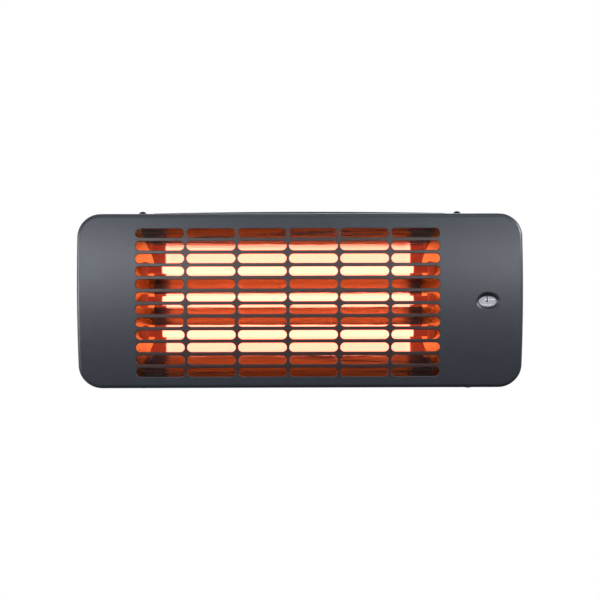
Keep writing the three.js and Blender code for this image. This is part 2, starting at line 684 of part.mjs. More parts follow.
// Polished face of the reflector seen from the side, as [y, z] from its upper lip to its lower one.
function reflectorFace() {
  const half = TUBE_PITCH / 2;
  const trough = (z) => REFLECTOR_Y - RIDGE_HEIGHT * (Math.abs(z) / half) ** RIDGE_POWER;
  const stops = Array.from({ length: TROUGH_STEPS + 1 }, (_, i) => (half * i) / TROUGH_STEPS);
  const middle = [...stops.slice(1).reverse(), ...stops.map((z) => -z)].map((z) => [trough(z), z]);
  const inner = stops.slice(0, -1).map((z) => [trough(z), TUBE_PITCH - z]);
  const flank = new THREE.CubicBezierCurve(
    new THREE.Vector2(FACE_Y + LIP_DEPTH, LIP_Z),
    new THREE.Vector2(REFLECTOR_Y - FLANK_KNEE_Y, TUBE_PITCH + FLANK_KNEE_Z),
    new THREE.Vector2(REFLECTOR_Y, TUBE_PITCH + FLANK_START),
    new THREE.Vector2(REFLECTOR_Y, TUBE_PITCH),
  ).getPoints(2 * TROUGH_STEPS).slice(0, -1).map(({ x, y }) => [x, y]);
  const upper = [...flank, ...inner];
  const lower = upper.map(([y, z]) => [y, -z]).reverse();
  return [...upper, ...middle, ...lower];
}

// The outline of a bent sheet: its face and, set back by the sheet's thickness, its other side.
function bentSheet(face, thickness) {
  const rear = face.map(([y, z], i) => {
    const [y0, z0] = face[Math.max(i - 1, 0)];
    const [y1, z1] = face[Math.min(i + 1, face.length - 1)];
    const before = new THREE.Vector2(z0 - z, y - y0).normalize();
    const after = new THREE.Vector2(z - z1, y1 - y).normalize();
    if (i === 0) before.copy(after);
    if (i === face.length - 1) after.copy(before);
    const across = before.clone().add(after).normalize();
    const reach = thickness / across.dot(after);
    return [y + across.x * reach, z + across.y * reach];
  });
  return [...face, ...rear.reverse()];
}

// The end plates lean outwards towards the front. A line across a plate at y, from the grille's middle:
const PLATE_FRONT_Y = FACE_Y + END_PLATE_FRONT;
const PLATE_LEAN = END_PLATE_SPLAY / (REFLECTOR_Y - PLATE_FRONT_Y);
const PLATE_ANGLE = Math.atan(PLATE_LEAN);
const PLATE_ACROSS = END_PLATE_SHEET / Math.cos(PLATE_ANGLE);
const plateX = (y) => GRILLE_LENGTH / 2 - END_PLATE_INSET + PLATE_LEAN * (REFLECTOR_Y - y);

function reflector() {
  const sheet = prismAlongX(bentSheet(reflectorFace(), REFLECTOR_SHEET), -LINK_X, LINK_X);
  const ends = Object.values(SIDES).map((side) => {
    const past = [BACK_Y, FACE_Y].map((y) => [side * (plateX(y) - GAP), y]);
    const far = side * (LINK_X + END_FOOT);
    const outline = [...past, [far, FACE_Y], [far, BACK_Y]];
    return prismAlongZ(side > 0 ? outline : outline.reverse(), -HEIGHT, HEIGHT);
  });
  return cut(sheet, ...ends);
}

// The right-hand end plate; the left-hand one is its mirror image.
function endPlate() {
  const foot = BACK_INSIDE_Y - GAP;
  const shoulder = SHOULDER_Y - SHELL_SHEET - 2 * GAP;
  const lean = prismAlongZ(
    [
      [plateX(foot), foot],
      [plateX(PLATE_FRONT_Y), PLATE_FRONT_Y],
      [plateX(PLATE_FRONT_Y) + PLATE_ACROSS, PLATE_FRONT_Y],
      [plateX(foot) + PLATE_ACROSS, foot],
    ],
    -HEIGHT,
    HEIGHT,
  );
  const front = HEIGHT / 2 - END_PLATE_MARGIN;
  const rear = BACK_HEIGHT / 2 - END_PLATE_REAR_MARGIN;
  const flangeEnd = BACK_HEIGHT / 2 - END_PLATE_FOOT_MARGIN;
  const outline = [
    [PLATE_FRONT_Y, -front],
    [shoulder, -front],
    [foot, -rear],
    [foot, rear],
    [shoulder, front],
    [PLATE_FRONT_Y, front],
  ];
  const panel = common(lean, prismAlongX(outline, 0, WIDTH / 2));
  const flange = block(
    [plateX(foot), foot - END_PLATE_SHEET, -flangeEnd],
    [plateX(foot) + END_FOOT, foot, flangeEnd],
  );
  const capHoles = Object.values(TUBES).map((place) =>
    turnedAlongX(rod(CAP_RADIUS + GAP, 0, WIDTH / 2)).translate(0, TUBE_Y, tubeZ(place)));
  const wireHole = turnedAlongX(rod(WIRE_HOLE_RADIUS, 0, WIDTH / 2), FINE_STEPS)
    .translate(0, NEUTRAL_WIRE_Y, NEUTRAL_WIRE_Z);
  return cut(join(panel, flange), ...capHoles, wireHole);
}

function quartzTube() {
  const half = CAP_START + CAP_GRIP - GAP;
  return turnedAlongX(tube(TUBE_RADIUS - TUBE_WALL, TUBE_RADIUS, -half, half));
}

function filament() {
  return turnedAlongX(rod(FILAMENT_RADIUS, -GLOW_END, GLOW_END), FINE_STEPS);
}

// A ceramic cap, drawn for the right-hand end: it grips the quartz and lets the stud through.
function ceramicCap() {
  const bore = TUBE_RADIUS + GAP;
  const studBore = STUD_RADIUS + GAP;
  const bead = 1;
  return turnedAlongX([
    [bore, CAP_START],
    [CAP_RADIUS - bead, CAP_START],
    [CAP_RADIUS, CAP_START + bead],
    [CAP_RADIUS, CAP_END - CAP_FLANGE],
    [CAP_FLANGE_RADIUS, CAP_END - CAP_FLANGE],
    [CAP_FLANGE_RADIUS, CAP_END],
    [studBore, CAP_END],
    [studBore, CAP_START + CAP_GRIP],
    [bore, CAP_START + CAP_GRIP],
    [bore, CAP_START],
  ]);
}

function terminalStud() {
  return turnedAlongX(rod(STUD_RADIUS, GLOW_END + GAP, STUD_END), FINE_STEPS);
}

// A strip that joins the three left-hand studs; drawn at its own middle, on the right-hand side.
function neutralLink() {
  const half = TUBE_PITCH + LINK_ENDS;
  const strip = block([LINK_X, -LINK_WIDTH / 2, -half], [LINK_X + LINK_SHEET, LINK_WIDTH / 2, half]);
  const holes = Object.values(TUBES).map((place) =>
    turnedAlongX(rod(STUD_RADIUS + GAP, CAP_END, STUD_END), FINE_STEPS).translate(0, 0, place * TUBE_PITCH));
  return cut(strip, ...holes);
}

// ---- Mains side --------------------------------------------------------------------------------------

const GLAND_X = WIDTH / 2 - GLAND_FROM_SIDE;
const BLOCK_X = WIDTH / 2 - BLOCK_FROM_SIDE;
const BLOCK_WAY = BLOCK_LENGTH / BLOCK_WAYS;
const EARTH_X = WIDTH / 2 - EARTH_FROM_SIDE;
const clampScrewXs = [-1, 1].map((side) => GLAND_X + (side * CLAMP_SCREW_SPACING) / 2);

function cableGland() {
  const seat = BACK_Y + GAP;
  const nose = seat + GLAND_FLANGE_SHEET;
  return turnedAlongY([
    [GLAND_BORE, BACK_INSIDE_Y - GLAND_INSIDE],
    [GLAND_THREAD, BACK_INSIDE_Y - GLAND_INSIDE],
    [GLAND_THREAD, seat],
    [GLAND_FLANGE, seat],
    [GLAND_FLANGE, nose],
    [GLAND_NOSE_RADIUS, nose],
    [GLAND_NOSE_RADIUS, nose + GLAND_SLEEVE],
    [GLAND_BORE + GLAND_TIP_WALL, nose + GLAND_SLEEVE + GLAND_TAPER],
    [GLAND_BORE, nose + GLAND_SLEEVE + GLAND_TAPER],
    [GLAND_BORE, BACK_INSIDE_Y - GLAND_INSIDE],
  ]).translate(GLAND_X, 0, GLAND_Z);
}

function cableClamp() {
  const seat = BACK_INSIDE_Y - GAP;
  const bridge = block(
    [GLAND_X - CLAMP_LENGTH / 2, seat - CLAMP_HEIGHT, CLAMP_Z - CLAMP_WIDTH / 2],
    [GLAND_X + CLAMP_LENGTH / 2, seat, CLAMP_Z + CLAMP_WIDTH / 2],
  );
  const reach = CLAMP_WIDTH / 2 + PAST;
  const groove = turnedAlongZ(rod(GLAND_BORE, -reach, reach)).translate(GLAND_X, seat, CLAMP_Z);
  const holes = clampScrewXs.map((x) =>
    turnedAlongY(rod(SCREW_RADIUS + THREAD_PLAY, seat - CLAMP_HEIGHT - PAST, seat + PAST), FINE_STEPS)
      .translate(x, 0, CLAMP_Z));
  return cut(bridge, groove, ...holes);
}

// A pan-head screw that points out through the back plate, its head's underside at y = 0.
function panScrew(length) {
  return turnedAlongY([
    [0, -PAN_HEAD],
    [PAN_HEAD_RADIUS - PAN_BEVEL, -PAN_HEAD],
    [PAN_HEAD_RADIUS, PAN_BEVEL - PAN_HEAD],
    [PAN_HEAD_RADIUS, 0],
    [SCREW_RADIUS, 0],
    [SCREW_RADIUS, length],
    [0, length],
  ]);
}

function terminalBlock() {
  const seat = BACK_INSIDE_Y - GAP;
  const front = seat - BLOCK_DEPTH;
  const half = BLOCK_HEIGHT / 2;
  const body = block(
    [BLOCK_X - BLOCK_LENGTH / 2, front, BLOCK_Z - half],
    [BLOCK_X + BLOCK_LENGTH / 2, seat, BLOCK_Z + half],
  );
  const wells = Array.from({ length: BLOCK_WAYS }, (_, i) =>
    turnedAlongY(rod(BLOCK_WELL_RADIUS, front - PAST, front + BLOCK_WELL_DEPTH), FINE_STEPS)
      .translate(BLOCK_X + BLOCK_WAY * (i - (BLOCK_WAYS - 1) / 2), 0, BLOCK_Z));
  const grooves = Array.from({ length: BLOCK_WAYS - 1 }, (_, i) => {
    const x = BLOCK_X + BLOCK_WAY * (i + 1 - BLOCK_WAYS / 2);
    return block(
      [x - BLOCK_GROOVE_WIDTH / 2, front - PAST, BLOCK_Z - half - PAST],
      [x + BLOCK_GROOVE_WIDTH / 2, front + BLOCK_GROOVE_DEPTH, BLOCK_Z + half + PAST],
    );
  });
  return cut(body, ...wells, ...grooves);
}

function thermalCutout() {
  return turnedAlongX([
    [0, GAP],
    [CUTOUT_FLANGE, GAP],
    [CUTOUT_FLANGE, GAP + CUTOUT_FLANGE_SHEET],
    [CUTOUT_RADIUS, GAP + CUTOUT_FLANGE_SHEET],
    [CUTOUT_RADIUS, CUTOUT_LENGTH],
    [0, CUTOUT_LENGTH],
  ]);
}

const CUTOUT_OUT = new THREE.Vector3(Math.cos(PLATE_ANGLE), Math.sin(PLATE_ANGLE), 0);
const CUTOUT_UP = new THREE.Vector3(Math.sin(PLATE_ANGLE), -Math.cos(PLATE_ANGLE), 0);
const CUTOUT_SEAT = new THREE.Vector3(GRILLE_X + plateX(REFLECTOR_Y) + PLATE_ACROSS, REFLECTOR_Y, CUTOUT_Z)
  .addScaledVector(CUTOUT_UP, CUTOUT_ALONG);
const cutoutTab = (side, out) =>
  CUTOUT_SEAT.clone()
    .addScaledVector(CUTOUT_OUT, CUTOUT_LENGTH + out)
    .add(new THREE.Vector3(0, 0, side * CUTOUT_TAB));

// A wire along points chosen by hand; its ends run straight on from what they meet.
function wire(points) {
  const route = new THREE.CatmullRomCurve3(points, false, "centripetal");
  const corners = arcPoints(0, 0, WIRE_RADIUS, 0, 360, WIRE_SIDES).slice(0, -1);
  const section = new THREE.Shape(corners.map(([x, y]) => new THREE.Vector2(x, y)));
  const steps = 3 * points.length;
  return new THREE.ExtrudeGeometry(section, { steps, extrudePath: route, bevelEnabled: false });
}

const at = (x, y, z) => new THREE.Vector3(x, y, z);

// ---- Wall bracket and tilt ---------------------------------------------------------------------------

const PIVOT_Y = BACK_Y + PIVOT_STANDOFF;

// Stack along the pivot, outwards from the ear's inner face.
const EAR_OUT = EAR_X + EAR_SHEET;
const WASHER_X = EAR_OUT + GAP;
const ARM_X = WASHER_X + WASHER_SHEET + GAP;
const ARM_OUT = ARM_X + BRACKET_SHEET;
const KNOB_X = ARM_OUT + GAP;
const BOLT_END = KNOB_X + KNOB_LENGTH - KNOB_CAP - GAP;
const PIVOT_HOLE = BOLT_RADIUS + GAP;

function pivotHole() {
  return turnedAlongX(rod(PIVOT_HOLE, -KNOB_X, KNOB_X)).translate(0, PIVOT_Y, 0);
}

function wallBracket() {
  const half = BRACKET_HEIGHT / 2;
  const plate = block([-ARM_OUT, -BRACKET_SHEET, -half], [ARM_OUT, 0, half]);
  const outline = [[0, -half], [0, half], ...arcPoints(PIVOT_Y, 0, ARM_RADIUS, 90, 270, FINE_STEPS)];
  const arms = Object.values(SIDES).map((side) =>
    prismAlongX(outline, side > 0 ? ARM_X : -ARM_OUT, side > 0 ? ARM_OUT : -ARM_X));
  const slots = Object.values(SIDES).map((side) =>
    prismAlongY(stadium(WALL_SLOT_LENGTH, WALL_SLOT_WIDTH), -BRACKET_SHEET - PAST, PAST)
      .translate(side * WALL_SLOT_X, 0, 0));
  return cut(join(plate, ...arms), ...slots, pivotHole());
}

// The right-hand ear, drawn round the pivot: a foot on the shell's back plate and a round-ended lug.
function shellEar() {
  const seat = BACK_Y - PIVOT_Y + GAP;
  const lug = prismAlongX(
    [[seat, EAR_RADIUS], ...arcPoints(0, 0, EAR_RADIUS, 90, -90, FINE_STEPS), [seat, -EAR_RADIUS]],
    EAR_X,
    EAR_OUT,
  );
  const foot = block([EAR_OUT - EAR_FOOT, seat, -EAR_FOOT], [EAR_OUT, seat + EAR_FOOT_SHEET, EAR_FOOT]);
  return cut(join(lug, foot), turnedAlongX(rod(PIVOT_HOLE, EAR_X - PAST, EAR_OUT + PAST)));
}

function pivotBolt() {
  const head = new THREE.CylinderGeometry(BOLT_HEAD_RADIUS, BOLT_HEAD_RADIUS, BOLT_HEAD, 6)
    .rotateZ(Math.PI / 2)
    .translate(EAR_X - GAP - BOLT_HEAD / 2, 0, 0);
  return join(head, turnedAlongX(rod(BOLT_RADIUS, EAR_X - GAP - BOLT_HEAD / 2, BOLT_END)));
}

function frictionWasher() {
  return turnedAlongX(tube(PIVOT_HOLE, WASHER_RADIUS, WASHER_X, WASHER_X + WASHER_SHEET));
}

function clampKnob() {
  const steps = 4 * KNOB_LOBES;
  const outline = Array.from({ length: steps }, (_, i) => {
    const angle = (2 * Math.PI * i) / steps;
    const radius = KNOB_RADIUS - (KNOB_LOBE_DEPTH / 2) * (1 - Math.cos(KNOB_LOBES * angle));
    return [radius * Math.cos(angle), radius * Math.sin(angle)];
  });
  const lobes = prismAlongX(outline, KNOB_X + KNOB_NECK, KNOB_X + KNOB_LENGTH);
  const neck = turnedAlongX(rod(WASHER_RADIUS, KNOB_X, KNOB_X + KNOB_NECK + PAST));
  return cut(join(lobes, neck), turnedAlongX(rod(PIVOT_HOLE, KNOB_X - PAST, BOLT_END + GAP)));
}

// ---- Finishes ----------------------------------------------------------------------------------------

const finish = (color, roughness, metalness) =>
  new THREE.MeshStandardMaterial({ color, roughness, metalness });
const FINISH = {
  coverPaint: finish(0x4a4d54, 0.45, 0.2),
  shellPaint: finish(0x4a4d54, 0.5, 0.2),
  polished: finish(0xd9d9d6, 0.12, 1),
  quartz: new THREE.MeshStandardMaterial({
    color: 0xfff0c4,
    roughness: 0.2,
    metalness: 0,
    emissive: 0xff8a3c,
    emissiveIntensity: 2,
  }),
  filament: finish(0xffb060, 0.6, 0.4),
  ceramic: finish(0xe6e0d4, 0.6, 0),
  steel: finish(0xb4b6b8, 0.35, 1),
  blackScrew: finish(0x17181a, 0.35, 0.6),
  lens: new THREE.MeshStandardMaterial({
    color: 0xf2f5f7,
    roughness: 0.05,
    metalness: 0,
    transparent: true,
    opacity: 0.3,
  }),
  whitePlastic: finish(0xe9e9e6, 0.4, 0),
  blackPlastic: finish(0x1c1d1f, 0.5, 0),
  brass: finish(0xb89a58, 0.35, 1),
  brownWire: finish(0x6b3f22, 0.5, 0),
  blueWire: finish(0x2a4f9c, 0.5, 0),
  earthWire: finish(0x6f8f2a, 0.5, 0),
};

// ---- Assembly ----------------------------------------------------------------------------------------

const root = new THREE.Group();
const heater = new THREE.Group();
heater.position.z = HEATER_RISE;
const pivot = new THREE.Group();
pivot.position.y = PIVOT_Y;
root.add(heater, pivot);

function add(parent, name, geometry, material, [x, y, z] = [0, 0, 0], side = 1) {
  const mesh = new THREE.Mesh(geometry, material);
  mesh.name = name;
  mesh.position.set(x, y, z);
  mesh.scale.x = side;
  parent.add(mesh);
  return mesh;
}

add(root, "wall_bracket", wallBracket(), FINISH.shellPaint);
for (const [name, side] of Object.entries(SIDES)) {
  add(pivot, `shell_ear_${name}`, shellEar(), FINISH.shellPaint, [0, 0, 0], side);
  add(pivot, `pivot_bolt_${name}`, pivotBolt(), FINISH.steel, [0, 0, 0], side);
  add(pivot, `friction_washer_${name}`, frictionWasher(), FINISH.blackPlastic, [0, 0, 0], side);
  add(pivot, `clamp_knob_${name}`, clampKnob(), FINISH.blackPlastic, [0, 0, 0], side);
}

add(heater, "front_cover", frontCover(), FINISH.coverPaint);
add(heater, "rear_shell", rearShell(), FINISH.shellPaint);
for (const [name, side] of Object.entries(SIDES)) {
  const x = side * COVER_SCREW_X;
  const z = HEIGHT / 2 + GAP;
  add(heater, `cover_screw_top_${name}`, domedScrew(), FINISH.blackScrew, [x, COVER_SCREW_Y, z]);
  const bottom = add(heater, `cover_screw_bottom_${name}`, domedScrew(), FINISH.blackScrew);
  bottom.position.set(x, COVER_SCREW_Y, -z);
  bottom.rotation.x = Math.PI;
}

add(heater, "window_lens", windowLens(), FINISH.lens);
const shaftAt = [0, SHAFT_Y, WINDOW_Z];
add(heater, "indicator_drum", indicatorDrum(), FINISH.whitePlastic, shaftAt);
add(heater, "drum_shaft", drumShaft(), FINISH.steel, shaftAt);
add(heater, "switch_body", switchBody(), FINISH.blackPlastic, shaftAt);
add(heater, "pull_lever", pullLever(), FINISH.whitePlastic, shaftAt);
add(heater, "lever_spring", leverSpring(), FINISH.steel, shaftAt);
add(heater, "switch_bracket", switchBracket(), FINISH.steel, [0, 0, WINDOW_Z]);
add(heater, "cord_bush", cordBush(), FINISH.blackPlastic);

add(heater, "reflector", reflector(), FINISH.polished, [GRILLE_X, 0, 0]);
for (const [name, side] of Object.entries(SIDES)) {
  add(heater, `reflector_end_${name}`, endPlate(), FINISH.polished, [GRILLE_X, 0, 0], side);
}
for (const [name, place] of Object.entries(TUBES)) {
  const middle = [GRILLE_X, TUBE_Y, tubeZ(place)];
  add(heater, `quartz_tube_${name}`, quartzTube(), FINISH.quartz, middle);
  add(heater, `filament_${name}`, filament(), FINISH.filament, middle);
  for (const [end, side] of Object.entries(SIDES)) {
    add(heater, `ceramic_cap_${name}_${end}`, ceramicCap(), FINISH.ceramic, middle, side);
    add(heater, `terminal_stud_${name}_${end}`, terminalStud(), FINISH.steel, middle, side);
  }
}
add(heater, "neutral_link", neutralLink(), FINISH.brass, [GRILLE_X, TUBE_Y, 0], SIDES.left);

add(heater, "cable_gland", cableGland(), FINISH.blackPlastic);
add(heater, "cable_clamp", cableClamp(), FINISH.whitePlastic);
clampScrewXs.forEach((x, i) => {
  const under = BACK_INSIDE_Y - CLAMP_HEIGHT - 2 * GAP;
  const screw = panScrew(CLAMP_HEIGHT + PAN_TAIL);
  add(heater, `clamp_screw_${i + 1}`, screw, FINISH.steel, [x, under, CLAMP_Z]);
});
add(heater, "terminal_block", terminalBlock(), FINISH.whitePlastic);
add(heater, "earth_screw", panScrew(PAN_TAIL), FINISH.brass, [EARTH_X, BACK_INSIDE_Y - GAP, EARTH_Z]);
const cutout = add(heater, "thermal_cutout", thermalCutout(), FINISH.steel, CUTOUT_SEAT.toArray());
cutout.rotation.z = PLATE_ANGLE;

// Wires, by the points they run through. Each runs straight out of its terminals for WIRE_LEAD.
const STUD_TIP_X = GRILLE_X + STUD_END + GAP;
const LINK_OUT_X = GRILLE_X - LINK_X - LINK_SHEET - GAP;
const SWITCH_ROOF_Z = WINDOW_Z + SWITCH_HEIGHT / 2 + GAP;
const SWITCH_FLOOR_Z = WINDOW_Z - SWITCH_HEIGHT / 2 - GAP;
const switchWay = (way) => SWITCH_LEFT + (SWITCH_WIDTH * way) / (TUBE_COUNT + 1);
const BLOCK_ROOF_Z = BLOCK_Z + BLOCK_HEIGHT / 2 + GAP;
const BLOCK_FLOOR_Z = BLOCK_Z - BLOCK_HEIGHT / 2 - GAP;
const BLOCK_Y = BACK_INSIDE_Y - GAP - BLOCK_DEPTH / 2;
const EARTH_TOP_Y = BACK_INSIDE_Y - GAP - PAN_HEAD - GAP;
const BETWEEN_X = (STUD_TIP_X + SWITCH_LEFT) / 2;
const LEFT_PLATE_X = GRILLE_X - plateX(NEUTRAL_WIRE_Y);
const RIGHT_PLATE_X = GRILLE_X + plateX(NEUTRAL_WIRE_Y);

add(heater, "live_wire_top", wire([
  at(STUD_TIP_X, TUBE_Y, tubeZ(TUBES.top)),
  at(STUD_TIP_X + WIRE_LEAD, TUBE_Y, tubeZ(TUBES.top)),
  at(switchWay(1), SHAFT_Y, SWITCH_ROOF_Z + WIRE_LEAD),
  at(switchWay(1), SHAFT_Y, SWITCH_ROOF_Z),
]), FINISH.brownWire);
add(heater, "live_wire_middle", wire([
  at(STUD_TIP_X, TUBE_Y, tubeZ(TUBES.middle)),
  at((STUD_TIP_X + BETWEEN_X) / 2, TUBE_Y, tubeZ(TUBES.middle)),
  at(BETWEEN_X, TUBE_Y, tubeZ(TUBES.middle) - WIRE_LEAD),
  at(BETWEEN_X, TUBE_Y, SWITCH_FLOOR_Z),
  at(switchWay(1), SHAFT_Y, SWITCH_FLOOR_Z - WIRE_LEAD),
  at(switchWay(1), SHAFT_Y, SWITCH_FLOOR_Z),
]), FINISH.brownWire);
add(heater, "live_wire_bottom", wire([
  at(STUD_TIP_X, TUBE_Y, tubeZ(TUBES.bottom)),
  at(STUD_TIP_X + WIRE_LEAD, TUBE_Y, tubeZ(TUBES.bottom)),
  at(switchWay(3), SHAFT_Y, SWITCH_FLOOR_Z - WIRE_LEAD),
  at(switchWay(3), SHAFT_Y, SWITCH_FLOOR_Z),
]), FINISH.brownWire);
add(heater, "neutral_wire", wire([
  at(LINK_OUT_X, TUBE_Y, TUBE_PITCH / 2),
  at(LINK_OUT_X - WIRE_LEAD, TUBE_Y, TUBE_PITCH / 2),
  at(LINK_OUT_X - 3 * WIRE_LEAD, NEUTRAL_WIRE_Y, NEUTRAL_WIRE_Z / 2),
  at(LINK_OUT_X, NEUTRAL_WIRE_Y, NEUTRAL_WIRE_Z),
  at(LEFT_PLATE_X + 2 * WIRE_LEAD, NEUTRAL_WIRE_Y, NEUTRAL_WIRE_Z),
  at(RIGHT_PLATE_X - 2 * WIRE_LEAD, NEUTRAL_WIRE_Y, NEUTRAL_WIRE_Z),
  at(RIGHT_PLATE_X + 4 * WIRE_LEAD, NEUTRAL_WIRE_Y, NEUTRAL_WIRE_Z),
  at(BLOCK_X, BLOCK_Y, NEUTRAL_WIRE_Z),
  at(BLOCK_X + BLOCK_WAY, BLOCK_Y, BLOCK_ROOF_Z + WIRE_LEAD),
  at(BLOCK_X + BLOCK_WAY, BLOCK_Y, BLOCK_ROOF_Z),
]), FINISH.blueWire);
add(heater, "feed_wire", wire([
  at(BLOCK_X - BLOCK_WAY, BLOCK_Y, BLOCK_ROOF_Z),
  at(BLOCK_X - BLOCK_WAY, BLOCK_Y, BLOCK_ROOF_Z + WIRE_LEAD / 2),
  cutoutTab(-1, WIRE_LEAD),
  cutoutTab(-1, GAP),
]), FINISH.brownWire);
add(heater, "cutout_wire", wire([
  cutoutTab(1, GAP),
  cutoutTab(1, WIRE_LEAD),
  at(switchWay(1), SHAFT_Y, CUTOUT_Z),
  at(switchWay(3), SHAFT_Y, BLOCK_Z),
  at(switchWay(3), SHAFT_Y, SWITCH_ROOF_Z + WIRE_LEAD),
  at(switchWay(3), SHAFT_Y, SWITCH_ROOF_Z),
]), FINISH.brownWire);
add(heater, "earth_wire", wire([
  at(BLOCK_X, BLOCK_Y, BLOCK_FLOOR_Z),
  at(BLOCK_X, BLOCK_Y, BLOCK_FLOOR_Z - WIRE_LEAD),
  at(BLOCK_X + BLOCK_LENGTH / 2, BLOCK_Y, GLAND_Z),
  at(BLOCK_X + BLOCK_LENGTH / 2, BLOCK_Y, SWITCH_FLOOR_Z),
  at(EARTH_X, EARTH_TOP_Y - WIRE_LEAD, EARTH_Z + WIRE_LEAD),
  at(EARTH_X, EARTH_TOP_Y - WIRE_LEAD, EARTH_Z),
  at(EARTH_X, EARTH_TOP_Y, EARTH_Z),
]), FINISH.earthWire);

export default root;
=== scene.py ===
import math

import bmesh
import bpy
from mathutils import Matrix, Vector
from mathutils.geometry import delaunay_2d_cdt

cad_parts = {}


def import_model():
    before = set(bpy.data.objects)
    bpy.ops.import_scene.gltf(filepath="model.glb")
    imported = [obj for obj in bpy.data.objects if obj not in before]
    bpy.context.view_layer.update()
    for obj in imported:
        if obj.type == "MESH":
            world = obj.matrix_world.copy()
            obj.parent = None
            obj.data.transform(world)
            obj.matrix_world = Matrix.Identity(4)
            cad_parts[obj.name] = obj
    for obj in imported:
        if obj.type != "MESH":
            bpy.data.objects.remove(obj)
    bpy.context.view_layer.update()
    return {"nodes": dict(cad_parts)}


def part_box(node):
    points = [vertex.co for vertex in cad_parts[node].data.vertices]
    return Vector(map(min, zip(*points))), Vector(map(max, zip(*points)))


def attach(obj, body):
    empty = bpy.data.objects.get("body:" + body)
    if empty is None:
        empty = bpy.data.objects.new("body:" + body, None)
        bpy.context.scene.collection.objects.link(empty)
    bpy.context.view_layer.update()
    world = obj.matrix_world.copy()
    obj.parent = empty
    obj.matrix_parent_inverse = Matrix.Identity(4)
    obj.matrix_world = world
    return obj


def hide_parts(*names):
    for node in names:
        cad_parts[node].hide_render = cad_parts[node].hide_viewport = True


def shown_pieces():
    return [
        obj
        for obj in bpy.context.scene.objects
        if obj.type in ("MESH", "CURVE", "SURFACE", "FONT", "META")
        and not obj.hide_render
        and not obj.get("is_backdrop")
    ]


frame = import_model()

MM = 0.001
PLAY = 0.3 * MM

# ---- Sizes, as in the solids ---------------------------------------------------------------------------

cover_low, cover_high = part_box("front_cover")
WIDTH = cover_high.x - cover_low.x
HEIGHT = cover_high.z - cover_low.z
MID_Z = (cover_high.z + cover_low.z) / 2
FACE_Y = cover_low.y
SKIRT_REAR_Y = cover_high.y
CROWN_RADIUS = 570 * MM
CORNER_RADIUS = 26 * MM
EDGE_RADIUS = 5 * MM
COVER_SHEET = 1.2 * MM

SLOT_ROWS = 12
SLOT_COLUMNS = 6
LEFT_BORDER = 65.63 * MM
RIGHT_BORDER = 93.37 * MM
TOP_BORDER = 16.51 * MM
BOTTOM_BORDER = 12.91 * MM
POST_WIDTH = 2.5 * MM
BAR_HEIGHT = 3.68 * MM
GRILLE_LENGTH = WIDTH - LEFT_BORDER - RIGHT_BORDER
SLOT_PITCH_X = (GRILLE_LENGTH + POST_WIDTH) / SLOT_COLUMNS
SLOT_PITCH_Z = (HEIGHT - TOP_BORDER - BOTTOM_BORDER + BAR_HEIGHT) / SLOT_ROWS
SLOT_LENGTH = SLOT_PITCH_X - POST_WIDTH
SLOT_HEIGHT = SLOT_PITCH_Z - BAR_HEIGHT
GRILLE_X = (LEFT_BORDER - RIGHT_BORDER) / 2
GRILLE_Z = (BOTTOM_BORDER - TOP_BORDER) / 2
GLOW_INSET = 27.3 * MM  # from the grille's end to the heating wire's
GLOW_END = GRILLE_LENGTH / 2 - GLOW_INSET  # from the grille's middle
GLOW_FADE = 0.6 * MM
RIM_START = 0.5 * MM  # the rim starts this far outside the slot's edge
RIM_RADIUS = 0.7 * MM
COLLAR_DEPTH = 1.9 * MM  # of the slot's turned-in edge, behind the face
COLLAR_SHEET = 0.7 * MM

lens_low, lens_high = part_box("window_lens")
WINDOW_X = (lens_low.x + lens_high.x) / 2
WINDOW_Z = (lens_low.z + lens_high.z) / 2 - MID_Z
LENS_REAR_Y = lens_high.y
DIMPLE_WIDTH = 26.3 * MM
DIMPLE_HEIGHT = 20.9 * MM
DIMPLE_DEPTH = 3 * MM
DIMPLE_LIP = 0.5 * MM
WINDOW_WIDTH = 20.8 * MM
WINDOW_HEIGHT = 12 * MM

TUBES = ("top", "middle", "bottom")
SIDES = {"left": -1, "right": 1}
TUBE_RADIUS = 5.2 * MM
TUBE_WALL = 1 * MM
COIL_RADIUS = 2.7 * MM
COIL_WIRE = 0.5 * MM
COIL_PITCH = 3 * MM
CAP_RADIUS = 8 * MM
CAP_GRIP = 8 * MM
CAP_FLANGE_RADIUS = 9.5 * MM
CAP_FLANGE = 3 * MM
STUD_RADIUS = 2 * MM

SCREW_HEAD_RADIUS = 4.1 * MM
SCREW_HEAD_HEIGHT = 2.6 * MM
FLUSH_HEAD_HEIGHT = 0.8 * MM  # of the lower screws, which hardly stand out
SCREW_SHANK_RADIUS = 1.9 * MM

# How finely curves are cut up.
CORNER_STEPS = 14
EDGE_STEPS = 6
ROUND_STEPS = 64
SIDE_STEPS = 24


# ---- Meshes --------------------------------------------------------------------------------------------

class Skin:
    """Points that carry their own normals, and the faces between them."""

    def __init__(self):
        self.points = []
        self.normals = []
        self.faces = []

    def ring(self, pairs):
        first = len(self.points)
        for point, normal in pairs:
            self.points.append(Vector(point))
            self.normals.append(Vector(normal).normalized())
        return list(range(first, len(self.points)))

    def face(self, *corners):
        a, b, c = (self.points[i] for i in corners[:3])
        outward = sum((self.normals[i] for i in corners), Vector())
        backwards = (b - a).cross(c - a).dot(outward) < 0
        self.faces.append(corners[::-1] if backwards else corners)

    def strip(self, one, other, closed=True):
        count = len(one)
        for i in range(count if closed else count - 1):
            j = (i + 1) % count
            self.face(one[i], one[j], other[j], other[i])

    def stack(self, rings):
        for one, other in zip(rings, rings[1:]):
            self.strip(one, other)

    def build(self, name):
        mesh = bpy.data.meshes.new(name)
        mesh.from_pydata(self.points, [], self.faces)
        mesh.shade_smooth()
        mesh.normals_split_custom_set_from_vertices(self.normals)
        return link(name, mesh)


def link(name, mesh):
    piece = bpy.data.objects.new(name, mesh)
    bpy.context.scene.collection.objects.link(piece)
    return piece


